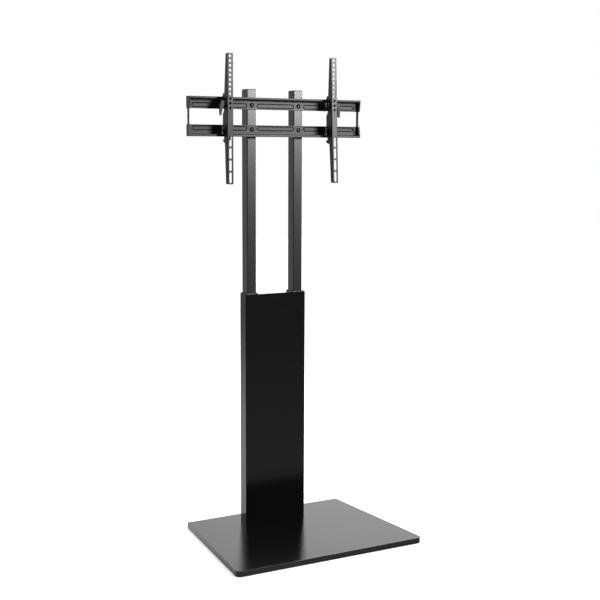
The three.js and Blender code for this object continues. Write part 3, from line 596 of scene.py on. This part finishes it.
def make_foot():
    """The flange that carries the sleeves, screwed to the board from below."""
    outline = box_outline((0, COLUMN["y"]), FOOT["width"], FOOT["depth"], FOOT["corner"])
    slab = prism("foot_flange", outline, "Z", FOOT["bottom"], FOOT["top"])
    cut(slab, *bores("m8", FOOT_BOLTS, "Z", FOOT["bottom"] - OVERRUN, FOOT["top"] + OVERRUN))
    soften(slab, EASED["slab"])
    dress(slab, ["foot_plate"], "base", powder_coat)


def make_cover():
    """A sheet folded twice into a trough that is open at the back."""
    half, front, rear = COVER["half"], COVER["front"], COVER["rear"]
    wall, bend = COVER["wall"], COVER["bend"]
    corners = [
        (-half, rear), (-half, front), (half, front), (half, rear),
        (half - wall, rear), (half - wall, front + wall), (wall - half, front + wall), (wall - half, rear),
    ]
    radii = [0, bend, bend, 0, 0, bend - wall, bend - wall, 0]
    skin = prism("folded_cover", rounded(corners, radii, 10), "Z", COVER["bottom"], COVER["top"])
    soften(skin, EASED["cover"], angle=50)
    dress(skin, ["column_cover"], "base", cover_coat)


def tube(name, centre, size):
    """A rectangular steel tube with rounded corners, its cut ends slightly eased."""
    width, depth, wall, corner = size["width"], size["depth"], size["wall"], size["corner"]
    bottom, top, ease = size["bottom"], size["top"], EASED["tube_end"]
    inner = max(corner - wall, ease)
    return loft(name, [
        box_ring(centre, width - 2 * shrink, depth - 2 * shrink, radius, level)
        for shrink, level, radius in (
            (ease, bottom, corner - ease), (0, bottom + ease, corner),
            (0, top - ease, corner), (ease, top, corner - ease),
            (wall, top, inner), (wall, bottom, inner),
        )
    ])


def make_sleeves():
    back = COLUMN["y"] + SLEEVE["depth"] / 2
    root = back - CLAMP["root"]
    for name, sign in SIDES:
        centre = (sign * COLUMN["x"], COLUMN["y"])
        clamp = (centre[0], CLAMP["z"])
        piece = tube(f"sleeve_{name}", centre, SLEEVE)
        join(
            piece,
            prism("boss", circle(clamp, CLAMP["boss"], ROUND_STEPS), "Y", root, back + CLAMP["length"]),
            prism("weld", circle(clamp, CLAMP["weld"], ROUND_STEPS), "Y", root, back + CLAMP["weld_length"]),
        )
        cut(piece, *bores("m8", [clamp], "Y", COLUMN["y"], back + CLAMP["length"] + OVERRUN))
        dress(piece, [f"outer_sleeve_{name}"], "base", powder_coat)


def make_collars():
    """Short guides that sit on the sleeves' tops, with a rounded upper rim."""
    width, depth, corner = COLLAR["width"], COLLAR["depth"], COLLAR["corner"]
    bottom, top, seat = COLLAR["bottom"], COLLAR["top"], SLEEVE["top"] + GAP
    mouth_width, mouth_depth = POST["width"] + COLLAR["slide"], POST["depth"] + COLLAR["slide"]
    grip_width, grip_depth = SLEEVE["width"] + COLLAR["hold"], SLEEVE["depth"] + COLLAR["hold"]
    wider, drop = COLLAR_MOUTH["wider"], COLLAR_MOUTH["drop"]
    rims = [(less, rounder, bottom + away) for less, rounder, away in COLLAR_FOOT_RIM]
    rims += [(less, rounder, top - away) for less, rounder, away in COLLAR_TOP_RIM]
    profile = [(width - less, depth - less, corner - rounder, level) for less, rounder, level in rims]
    profile += [
        (mouth_width + wider, mouth_depth + wider, COLLAR_MOUTH["rim_corner"], top),
        (mouth_width, mouth_depth, COLLAR_MOUTH["corner"], top - drop),
        (mouth_width, mouth_depth, COLLAR_MOUTH["corner"], seat),
        (grip_width, grip_depth, SLEEVE["corner"], seat),
        (grip_width, grip_depth, SLEEVE["corner"], bottom),
    ]
    for name, sign in SIDES:
        centre = (sign * COLUMN["x"], COLUMN["y"])
        piece = loft(f"collar_{name}", [box_ring(centre, *ring) for ring in profile])
        dress(piece, [f"sleeve_collar_{name}"], "base", nylon)


def make_braces():
    half, front, rear = BRACE["half"], BRACE["front"], BRACE["rear"]
    for name, low in BRACE_BOTTOMS:
        high = low + BRACE["height"]
        outline = [(-half, low), (half, low), (half, high), (-half, high)]
        bar = prism(f"cross_bar_{name}", outline, "Y", front, rear)
        if name == "lower":
            places = [(sign * COVER_SCREW["x"], COVER_SCREW["z"]) for _, sign in SIDES]
            cut(bar, *bores("m4", places, "Y", front - OVERRUN, rear + OVERRUN))
        soften(bar, EASED["bar"])
        dress(bar, [f"brace_{name}"], "base", powder_coat)


def make_cover_hook():
    """A folded strip that hangs the cover on the upper brace."""
    front, tip = cad_span("cover_hook", "Y")
    bottom, top = cad_span("cover_hook", "Z")
    wall, end = COVER_HOOK["wall"], top - COVER_HOOK["drop"]
    bend, inner_bend = COVER_HOOK["bend"], COVER_HOOK["inner_bend"]
    corners = [
        (front, bottom), (front, top), (tip, top), (tip, end),
        (tip - wall, end), (tip - wall, top - wall), (front + wall, top - wall), (front + wall, bottom),
    ]
    outline = rounded(corners, [0, bend, bend, 0, 0, inner_bend, inner_bend, 0])
    hook = prism("cover_hanger", outline, "X", -COVER_HOOK["half"], COVER_HOOK["half"])
    soften(hook, EASED["folded"], angle=50)
    dress(hook, ["cover_hook"], "base", powder_coat)


# Sliding posts


def plug_rings(centre, size, face, inner):
    """Rings from the middle of the flange's face out, down the plug and up its inside."""
    up = 1 if face > inner else -1
    flat, corner = face - up * size["flange"], POST["corner"]
    width, depth = POST["width"] + size["wider"], POST["depth"] + size["wider"]
    plug_width, plug_depth = (POST[key] - 2 * POST["wall"] - PLUG["gap"] for key in ("width", "depth"))
    bore_width, bore_depth = plug_width - 2 * size["wall"], plug_depth - 2 * size["wall"]
    middle = (PLUG["middle"], PLUG["middle"], PLUG["middle_corner"])
    rim = [
        (width - less, depth - less, corner - rounder, face - up * away) for less, rounder, away in FLANGE_RIM
    ]
    return [
        box_ring(centre, *ring)
        for ring in (
            (*middle, face), *rim, (width, depth, corner, flat),
            (plug_width, plug_depth, PLUG["corner"], flat), (plug_width, plug_depth, PLUG["corner"], inner),
            (bore_width, bore_depth, PLUG["bore_corner"], inner),
            (bore_width, bore_depth, PLUG["bore_corner"], flat), (*middle, flat),
        )
    ]


def make_posts():
    front = COLUMN["y"] - POST["depth"] / 2
    for name, sign in SIDES:
        centre = (sign * COLUMN["x"], COLUMN["y"])
        piece = tube(f"inner_post_{name}", centre, POST)
        places = [(centre[0], rail_z(level, RAIL_BOLT["from_lip"])) for _, level in LEVELS]
        cut(piece, *bores("m8", places, "Y", front - OVERRUN, front + POST["wall"] + OVERRUN))
        dress(piece, [f"post_{name}"], "lift", powder_coat)
        for plug, node, size, up in (
            ("top_plug", "post_cap", CAP, 1), ("bottom_glide", "post_glide", GLIDE, -1),
        ):
            inner, face = cad_span(f"{node}_{name}", "Z")[::up]
            piece = loft(f"{plug}_{name}", plug_rings(centre, size, face, inner), looped=False)
            dress(piece, [f"{node}_{name}"], "lift", nylon)


# Rails


def rail_z(level, from_lip):
    """Height on a rail, counted from its lip's edge towards the middle of the mount."""
    return RAIL["middle"] + level * (RAIL["reach"] - from_lip)


def inside(outline, x, z):
    hit = False
    for (ax, az), (bx, bz) in zip(outline, outline[1:] + outline[:1]):
        if (az > z) != (bz > z) and x < ax + (z - az) * (bx - ax) / (bz - az):
            hit = not hit
    return hit


def flat_with_holes(sheet, corners, holes, depth):
    """A flat face at one depth whose holes are outlines in X and Z."""
    points, edges = [], []
    for outline in [corners, *holes]:
        start, count = len(points), len(outline)
        points += [Vector(point) for point in outline]
        edges += [(start + index, start + (index + 1) % count) for index in range(count)]
    made, _, faces, *_ = delaunay_2d_cdt(points, edges, [], 0, 1e-5)
    verts = add_points(sheet, [(point.x, depth, point.y) for point in made])
    for face in faces:
        x = sum(made[index].x for index in face) / len(face)
        z = sum(made[index].y for index in face) / len(face)
        if inside(corners, x, z) and not any(inside(hole, x, z) for hole in holes):
            sheet.faces.new([verts[index] for index in face])


def add_face(sheet, points):
    sheet.faces.new(add_points(sheet, points))


def band(sheet, first, second):
    """Quads between two outlines given as points in space."""
    add_quads(sheet, add_points(sheet, first), add_points(sheet, second))


def rail_section(level):
    """The folded section in Y and Z: a web, a ledge and a lip."""
    back, web, lip = RAIL["back"], RAIL["web"], RAIL["lip"]
    inner_edge, lip_edge = rail_z(level, RAIL_HEIGHT), rail_z(level, 0)
    ledge_over, ledge_under = rail_z(level, RAIL_LIP - RAIL_WALL), rail_z(level, RAIL_LIP)
    corners = [
        (back, inner_edge), (back, ledge_over), (lip + RAIL_WALL, ledge_over), (lip + RAIL_WALL, lip_edge),
        (lip, lip_edge), (lip, ledge_under), (web, ledge_under), (web, inner_edge),
    ]
    names = ("web_edge", "outer", "inner", "lip_edge", "lip_edge", "outer", "inner", "web_edge")
    return rounded(corners, [RAIL_BEND[name] for name in names])


def make_rail(name, level):
    """A section folded twice, with long beads pressed into its web from the front."""
    sheet = bmesh.new()
    half, back, web = RAIL["half"], RAIL["back"], RAIL["web"]
    section = rail_section(level)
    rings = [[(x, y, z) for y, z in section] for x in (-half, half)]
    flats = {}
    for index, (y, z) in enumerate(section):
        after = (index + 1) % len(section)
        other = section[after]
        if abs(z - other[1]) > RAIL_HEIGHT / 2 and abs(y - other[0]) < WELD:
            flats["back" if abs(y - back) < WELD else "web"] = sorted((z, other[1]))
            continue
        add_face(sheet, [rings[0][index], rings[0][after], rings[1][after], rings[1][index]])
    for ring in rings:
        add_face(sheet, ring)

    bolt_z = rail_z(level, RAIL_BOLT["from_lip"])
    rivet_z = rail_z(level, END_RIVET["from_lip"])
    holes = [circle((sign * RAIL_BOLT["x"], bolt_z), *BORES["m8"]) for _, sign in SIDES]
    holes += [circle((sign * END_RIVET["x"], rivet_z), *BORES["rivet"]) for _, sign in SIDES]
    shares = [step / BEAD_STEPS for step in range(-BEAD_STEPS, BEAD_STEPS + 1)]
    profile = [(BEAD["half_width"] * share, 0.5 + 0.5 * math.cos(math.pi * share)) for share in shares]

    def bead_ring(start, end, offset):
        inset = BEAD["inset"] - offset
        return stadium(start + inset, end - inset, rail_z(level, BEAD["from_lip"]), BEAD["radius"] + offset)

    outer_rings = [bead_ring(start, end, BEAD["half_width"]) for start, end in BEAD_SPANS]
    for key, depth, push in (("web", web, BEAD["depth"]), ("back", back, BEAD["rise"])):
        low, high = flats[key]
        face = [(-half, low), (half, low), (half, high), (-half, high)]
        flat_with_holes(sheet, face, holes + outer_rings, depth)
        for start, end in BEAD_SPANS:
            shapes = [
                [(x, depth + push * height, z) for x, z in bead_ring(start, end, offset)]
                for offset, height in profile
            ]
            for first, second in zip(shapes, shapes[1:]):
                band(sheet, first, second)
            add_face(sheet, shapes[0])
    for hole in holes:
        band(sheet, [(x, web, z) for x, z in hole], [(x, back, z) for x, z in hole])
    piece = new_object(f"mount_rail_{name}", finished_mesh(sheet, f"mount_rail_{name}"))
    dress(piece, [f"rail_{name}"], "lift", bracket_coat, angle=40)


def make_rail_ends():
    for name, sign in SIDES:
        piece = soften(cad_copy(f"end_bracket_{name}", f"end_plate_{name}"), EASED["folded"])
        dress(piece, [f"end_plate_{name}"], "lift", bracket_coat)
        inner = sign * (RAIL["half"] + GAP)
        ends = span(inner, inner + sign * END_CAP["wall"])
        for level_name, level in LEVELS:
            edge, lip = rail_z(level, RAIL_HEIGHT), rail_z(level, 0)
            corners = [
                (RAIL["back"], edge), (RAIL["back"], lip),
                (RAIL["lip"], lip), (RAIL["lip"] + END_CAP["slant"], edge),
            ]
            outline = rounded(corners, END_CAP["corner"], 8)
            cap = soften(prism(f"end_cap_{level_name}_{name}", outline, "X", *ends), EASED["end_cap"], 3)
            dress(cap, [f"rail_end_cap_{level_name}_{name}"], "lift", nylon)


# Bracket arms


def perforation_tree():
    """Cuts a row of round holes and a row of long slots down an arm's front."""
    counts = [(name, "Int", count) for name, count in PERFORATION_COUNTS.items()]
    starts = [(name, "Vector", None) for name in ("First Hole", "First Slot")]
    tree, given = new_tree("perforated_arm", "Channel", PERFORATIONS, counts + starts)

    radius, depth = given["Hole Radius"], given["Cut Depth"]
    drill = add_node(
        tree, "GeometryNodeMeshCylinder", inputs={"Vertices": 32, "Radius": radius, "Depth": depth}
    )
    drill = add_node(
        tree, "GeometryNodeTransform", inputs={"Geometry": drill, "Rotation": (math.pi / 2, 0, 0)}
    )
    width = add_node(tree, "ShaderNodeMath", {"operation": "MULTIPLY"}, {0: radius, 1: 2.0})
    length = add_node(
        tree, "ShaderNodeMath", {"operation": "SUBTRACT"}, {0: given["Slot Length"], 1: width}
    )
    bar_size = add_node(tree, "ShaderNodeCombineXYZ", inputs={"X": width, "Y": depth, "Z": length})
    slot_parts = [add_node(tree, "GeometryNodeMeshCube", inputs={"Size": bar_size})]
    for share in (0.5, -0.5):
        run = add_node(tree, "ShaderNodeMath", {"operation": "MULTIPLY"}, {0: length, 1: share})
        shift = add_node(tree, "ShaderNodeCombineXYZ", inputs={"Z": run})
        slot_parts.append(add_node(
            tree, "GeometryNodeTransform", inputs={"Geometry": drill, "Translation": shift}
        ))
    slot = add_node(
        tree, "GeometryNodeMeshBoolean", {"operation": "UNION", "solver": "EXACT"}, {"Mesh 2": slot_parts}
    )
    rows = []
    for cutter, kind in ((drill, "Hole"), (slot, "Slot")):
        down = add_node(
            tree, "ShaderNodeMath", {"operation": "MULTIPLY"}, {0: given[f"{kind} Pitch"], 1: -1.0}
        )
        step = add_node(tree, "ShaderNodeCombineXYZ", inputs={"Z": down})
        line = add_node(
            tree, "GeometryNodeMeshLine",
            inputs={"Count": given[f"{kind}s"], "Start Location": given[f"First {kind}"], "Offset": step},
        )
        row = add_node(tree, "GeometryNodeInstanceOnPoints", inputs={"Points": line, "Instance": cutter})
        rows.append(add_node(tree, "GeometryNodeRealizeInstances", inputs={"Geometry": row}))
    arm = add_node(
        tree, "GeometryNodeMeshBoolean", {"operation": "DIFFERENCE", "solver": "EXACT"},
        {"Mesh 1": given["Channel"], "Mesh 2": rows},
    )
    finish_tree(tree, arm, given["Finish"])
    return tree


PERFORATION = perforation_tree()


def flange_reliefs():
    """What the narrower flange leaves away above the pivot lug and under the lock lug."""
    top, bottom, front, narrow = ARM["top"], ARM["bottom"], ARM_FRONT, NARROW_FLANGE
    over_pivot, under_lock = PIVOT[1] + LUG["pivot"], LOCK[1] - LUG["lock"] - GAP
    rear, above, below = front + ARM_BLANK, top + OVERRUN, bottom - OVERRUN
    upper = [
        (front + narrow["top_depth"], top), (front + narrow["depth"], top - narrow["drop"]),
        (LOCK[0], over_pivot), (rear, over_pivot), (rear, above), (front + narrow["top_depth"], above),
    ]
    lower = [
        (front + narrow["waist_depth"], under_lock), (front + narrow["bottom_depth"], bottom),
        (front + narrow["bottom_depth"], below), (rear, below), (rear, under_lock),
    ]
    return upper, lower


def make_arm(name, sign):
    """A channel folded from sheet, deeper at its shoulder, drawn upright and then tilted."""
    x, half, inner = ARM_X[name], ARM["width"] / 2, ARM["width"] / 2 - ARM["wall"]
    top, bottom, front, wide = ARM["top"], ARM["bottom"], ARM_FRONT, WIDE_FLANGE
    rear, above, below = front + ARM_BLANK, top + OVERRUN, bottom - OVERRUN
    waist = front + wide["waist_depth"]
    side = [
        (front, top), (front, bottom), (front + wide["bottom_depth"], bottom),
        (waist, top - wide["waist_drop"]), (waist, LOCK[1]), (LOCK[0], LOCK[1]), (LOCK[0], PIVOT[1]),
        (front + wide["depth"], top - wide["drop"]), (front + wide["top_depth"], top),
    ]
    arm = prism(f"bracket_arm_{name}", side, "X", x - half, x + half)
    join(
        arm,
        prism("pivot_lug", circle(PIVOT, LUG["pivot"], 40), "X", x - half, x + half),
        prism("lock_lug", circle(LOCK, LUG["lock"], 36), "X", x - half, x + half),
    )
    folded = [(x - half, front), (x + half, front), (x + half, rear), (x - half, rear)]
    face = [(x - half, bottom), (x + half, bottom), (x + half, top), (x - half, top)]
    keep(
        arm,
        prism("fold", rounded(folded, [ARM["bend"], ARM["bend"], 0, 0]), "Z", below, above),
        prism("face", rounded(face, ARM["corner"]), "Y", front - OVERRUN, rear),
    )
    hollow = [
        (x - inner, front + ARM["wall"]), (x + inner, front + ARM["wall"]),
        (x + inner, rear + OVERRUN), (x - inner, rear + OVERRUN),
    ]
    upper_relief, lower_relief = flange_reliefs()
    low, high = x - half - OVERRUN, x + half + OVERRUN
    cut(
        arm,
        prism("hollow", rounded(hollow, [ARM["inner_bend"], ARM["inner_bend"], 0, 0], 3), "Z", below, above),
        prism("upper_relief", upper_relief, "X", x, high),
        prism("lower_relief", lower_relief, "X", x, high),
        *bores("m8", [PIVOT], "X", low, high),
        *bores("m6", [LOCK], "X", low, high),
    )
    run_tree(arm, PERFORATION, {
        "First Hole": Vector((x, front, top - FIRST_DROP["hole"])) * MM,
        "First Slot": Vector((x, front, top - FIRST_DROP["slot"])) * MM,
        "Finish": bracket_coat,
    })
    soften(arm, EASED["folded"], angle=50)
    turned(arm, RIGHT_TILT if sign > 0 else 0)
    dress(arm, [f"{name}_arm"], f"{name}_tilting_arm", bracket_coat)


def make_lever(name, sign):
    """The hub on the pivot bolt and the paddle that hangs from it and flares outwards."""
    start = ARM_X[name] + sign * (ARM["width"] / 2 + GAP)
    hub, tip, length, reach = (LEVER[key] for key in ("hub", "tip", "length", "reach"))
    drop = length - tip
    tangent = math.asin((hub - tip) / drop)
    teardrop = arc(PIVOT, hub, -tangent, math.pi + tangent, 28)
    teardrop += arc((PIVOT[0], PIVOT[1] - drop), tip, math.pi + tangent, 2 * math.pi - tangent, 16)
    front = [
        (0, hub), (LEVER["shoulder"], hub), (reach, -hub), (reach, -length),
        (LEVER["paddle"], -length), (LEVER_NECK["out"], -LEVER_NECK["down"]), (0, -hub),
    ]
    body = prism(f"tilt_lever_{name}", teardrop, "X", *span(start, start + sign * (reach + OVERRUN)))
    outline = rounded([(start + sign * u, PIVOT[1] + v) for u, v in front], LEVER_BENDS)
    keep(body, prism("flare", outline, "Y", PIVOT[0] - 2 * hub, PIVOT[0] + 2 * hub))
    cut(body, *bores("m8", [PIVOT], "X", *span(start - sign, start + sign * LEVER["bore"])))
    soften(body, EASED["lever"], 3, angle=40)
    dress(body, [f"{name}_lever"], f"{name}_handle", nylon, angle=40)


def make_hanger_and_catch(name):
    """The hook that hangs the arm on the upper rail, and the catch under the lower one."""
    body = f"{name}_carriage"
    hanger = soften(cad_copy(f"hook_bracket_{name}", f"{name}_hanger"), EASED["folded"])
    dress(hanger, [f"{name}_hanger"], body, bracket_coat)
    catch = soften(cad_copy(f"rail_catch_{name}", f"{name}_latch"), EASED["catch"])
    dress(catch, [f"{name}_latch"], f"{name}_catch", nylon)
    node = f"{name}_latch_pin"
    centre = (sum(cad_span(node, "Y")) / 2, sum(cad_span(node, "Z")) / 2)
    left, right = cad_span(node, "X")
    radius, end_radius, chamfer = CATCH_PIN["radius"], CATCH_PIN["end_radius"], CATCH_PIN["chamfer"]
    pin = loft(f"catch_pin_{name}", [
        [(x, y, z) for y, z in circle(centre, size)]
        for x, size in (
            (left, end_radius), (left + chamfer, radius), (right - chamfer, radius), (right, end_radius),
        )
    ], looped=False)
    dress(pin, [node], body, black_oxide)


def make_arm_bolts(name, sign):
    """The pivot bolt on the carriage, and the lock bolt and its nut on the tilting arm."""
    outer = ARM_X[name] + sign * (ARM["width"] / 2 + GAP)
    inner = ARM_X[name] - sign * (ARM["width"] / 2 + GAP)
    tilt, tilting = RIGHT_TILT if sign > 0 else 0, f"{name}_tilting_arm"
    fasteners(
        f"tilt_bolt_{name}", M8, SHANK["pivot"], [(inner, *PIVOT)], (sign, 0, 0),
        [f"{name}_pivot_bolt"], f"{name}_carriage",
    )
    fasteners(
        f"tilt_lock_bolt_{name}", M6, SHANK["lock"], [(outer, *LOCK)], (-sign, 0, 0),
        [f"{name}_lock_bolt"], tilting, tilt=tilt,
    )
    far = inner - sign * NUT["height"]
    face, rim, chamfer = NUT["face_radius"], NUT["chamfer_radius"], NUT["chamfer"]
    hexagon = arc(LOCK, NUT["radius"], math.pi / 2, -3 * math.pi / 2, 6)[:-1]
    nut = prism(f"tilt_lock_nut_{name}", hexagon, "X", *span(inner, far))
    profile = ((inner, face), (inner - sign * chamfer, rim), (far + sign * chamfer, rim), (far, face))
    keep(nut, loft("chamfer", [
        [(x, y, z) for y, z in circle(LOCK, radius, ROUND_STEPS)] for x, radius in profile
    ], looped=False))
    cut(nut, *bores("m6", [LOCK], "X", *span(inner + sign * OVERRUN, far - sign * OVERRUN)))
    dress(turned(nut, tilt), [f"{name}_lock_nut"], tilting, black_oxide)


def make_shared_fasteners():
    """The screws and rivets that stand in rows on the base and on the rails."""
    fasteners(
        "plate_bolts", M8_FLAT, SHANK["plate"], [(x, y, PLATE_SEAT["top"] - GAP) for x, y in FOOT_BOLTS],
        (0, 0, 1), [f"base_bolt_{index}" for index in (1, 2, 3, 4)], "base",
    )
    clamp_seat = COLUMN["y"] + SLEEVE["depth"] / 2 + CLAMP["length"] + GAP
    fasteners(
        "height_bolts", M8, clamp_seat - COLUMN["y"] - POST["depth"] / 2 - GAP,
        [(sign * COLUMN["x"], clamp_seat, CLAMP["z"]) for _, sign in SIDES], (0, -1, 0),
        [f"height_clamp_bolt_{name}" for name, _ in SIDES], "base",
    )
    fasteners(
        "cover_screws", M4, SHANK["cover"],
        [(sign * COVER_SCREW["x"], BRACE["rear"] + GAP, COVER_SCREW["z"]) for _, sign in SIDES], (0, -1, 0),
        [f"cover_screw_{name}" for name, _ in SIDES], "base",
    )
    for name, sizes, length, place, y, node, socket in (
        ("rail_bolts", M8, SHANK["rail"], RAIL_BOLT, RAIL["web"] - GAP, "rail_bolt", True),
        ("rail_rivets", RIVET, SHANK["rivet"], END_RIVET, END_RIVET["y"], "end_rivet", False),
    ):
        places = [
            (sign * place["x"], y, rail_z(level, place["from_lip"]))
            for _, level in LEVELS for _, sign in SIDES
        ]
        nodes = [f"{node}_{level}_{side}" for level, _ in LEVELS for side, _ in SIDES]
        fasteners(name, sizes, length, places, (0, 1, 0), nodes, "lift", socket=socket)


make_board()
make_pads()
make_foot()
make_cover()
make_sleeves()
make_collars()
make_braces()
make_cover_hook()
make_posts()
for level_name, level_sign in LEVELS:
    make_rail(level_name, level_sign)
make_rail_ends()
for side_name, side_sign in SIDES:
    make_arm(side_name, side_sign)
    make_lever(side_name, side_sign)
    make_hanger_and_catch(side_name)
    make_arm_bolts(side_name, side_sign)
make_shared_fasteners()


# Camera, floor and light

# The camera's place in metres, its angles in degrees, and its lens.
CAMERA = {"place": (-1.7275, -3.2385, 1.2929), "yaw": 28.19, "pitch": 7.53, "roll": 0.22}
LENS = {"length": 67.426, "sensor": 36, "near": 0.1, "far": 100}
# The paper's own glow stands for the light that a lit floor gets back from a white room.
PAPER = {"colour": "#fbfbfb", "rough": 0.9, "glow": 0.12, "half": 12}
# Lamps: where each stands and what it points at in metres, its width and its watts.
LAMPS = {
    "key": {"place": (1.2, -1.93, 2.02), "aim": (0, 0.15, 1.3), "size": 0.7, "power": 104},
    "rear_fill": {"place": (3.0, 1.85, 1.45), "aim": (0, 0.2, 1.0), "size": 1.4, "power": 48},
}

# The world's glow, in steps over the direction it is seen in. Each goes from one
# brightness to another, a number or an earlier step, as the direction's share to the
# right, to the back, up or down grows from its start to its end. The plate mirrors
# the upper rear, the sides mirror the lower rear, and the fronts mirror the lower
# front, a dim room with a lighter floor.
GLOW = (
    ("upper_rear", "right", 0.33, 0.47, 1.28, 1.62),
    ("rear", "up", 0.08, 0.3, 0.58, "upper_rear"),
    ("rear", "up", 0.5, 0.8, "rear", 2.0),
    ("rear", "down", 0.07, 0.13, "rear", 0.36),
    ("rear", "down", 0.14, 0.25, "rear", 1.38),
    ("rear", "down", 0.31, 0.35, "rear", 0.5),
    ("front", "up", 0.45, 0.9, 0.135, 1.0),
    ("front", "down", 0.14, 0.28, "front", 0.31),
    ("front", "down", 0.29, 0.36, "front", 0.7),
    ("all", "back", -0.25, 0.25, "front", "rear"),
)


def make_camera():
    yaw, pitch, roll = (math.radians(CAMERA[angle]) for angle in ("yaw", "pitch", "roll"))
    forward = Vector((math.sin(yaw) * math.cos(pitch), math.cos(yaw) * math.cos(pitch), -math.sin(pitch)))
    right = Vector((math.cos(yaw), -math.sin(yaw), 0))
    up = right.cross(forward)
    level_right = right * math.cos(roll) + up * math.sin(roll)
    level_up = up * math.cos(roll) - right * math.sin(roll)
    data = bpy.data.cameras.new("camera")
    data.lens, data.sensor_width = LENS["length"], LENS["sensor"]
    data.clip_start, data.clip_end = LENS["near"], LENS["far"]
    camera = new_object("camera", data)
    turn = Matrix((level_right, level_up, -forward)).transposed().to_4x4()
    camera.matrix_world = Matrix.Translation(CAMERA["place"]) @ turn
    bpy.context.scene.camera = camera


def make_floor():
    half = PAPER["half"]
    mesh = bpy.data.meshes.new("studio_floor")
    corners = [(-half, -half, 0), (half, -half, 0), (half, half, 0), (-half, half, 0)]
    mesh.from_pydata(corners, [], [(0, 1, 2, 3)])
    floor = new_object("studio_floor", mesh)
    paper = bpy.data.materials.new("white_paper")
    paper.use_nodes = True
    surface = paper.node_tree.nodes["Principled BSDF"].inputs
    surface["Base Color"].default_value = linear(PAPER["colour"])
    surface["Roughness"].default_value = PAPER["rough"]
    surface["Specular IOR Level"].default_value = 0.0
    surface["Emission Color"].default_value = linear("#ffffff")
    surface["Emission Strength"].default_value = PAPER["glow"]
    mesh.materials.append(paper)
    # Mirrored rays pass the floor and meet the world's lower half, which stands for it.
    floor.visible_glossy = False


def make_lamps():
    for name, lamp in LAMPS.items():
        data = bpy.data.lights.new(name, "AREA")
        data.shape, data.size, data.size_y = "RECTANGLE", lamp["size"], lamp["size"]
        data.energy = lamp["power"]
        made = new_object(name, data)
        made.location = lamp["place"]
        aim = Vector(lamp["aim"]) - Vector(lamp["place"])
        made.rotation_euler = aim.to_track_quat("-Z", "Y").to_euler()


def make_world():
    """A studio's soft light, and plain white where the camera sees past the floor."""
    world = bpy.data.worlds.new("studio")
    bpy.context.scene.world = world
    world.use_nodes = True
    tree = world.node_tree
    tree.nodes.clear()
    direction = add_node(tree, "ShaderNodeTexCoord").outputs["Generated"]
    parts = add_node(tree, "ShaderNodeSeparateXYZ", inputs={"Vector": direction}).outputs
    down = add_node(tree, "ShaderNodeMath", {"operation": "MULTIPLY"}, {0: parts["Z"], 1: -1.0})
    follow = {"right": parts["X"], "back": parts["Y"], "up": parts["Z"], "down": down}
    glow = {}
    for name, way, start, end, low, high in GLOW:
        glow[name] = add_node(
            tree, "ShaderNodeMapRange", {"interpolation_type": "SMOOTHSTEP"},
            {"Value": follow[way], "From Min": start, "From Max": end,
             "To Min": glow.get(low, low), "To Max": glow.get(high, high)},
        )
    white = (1, 1, 1, 1)
    soft = add_node(tree, "ShaderNodeBackground", inputs={"Color": white, "Strength": glow["all"]})
    plain = add_node(tree, "ShaderNodeBackground", inputs={"Color": white, "Strength": 1.0})
    seen = add_node(tree, "ShaderNodeLightPath").outputs["Is Camera Ray"]
    mixed = add_node(tree, "ShaderNodeMixShader", inputs={0: seen, 1: soft, 2: plain})
    add_node(tree, "ShaderNodeOutputWorld", inputs={"Surface": mixed})


make_camera()
make_floor()
make_world()
make_lamps()
bpy.context.scene.view_settings.view_transform = "Standard"
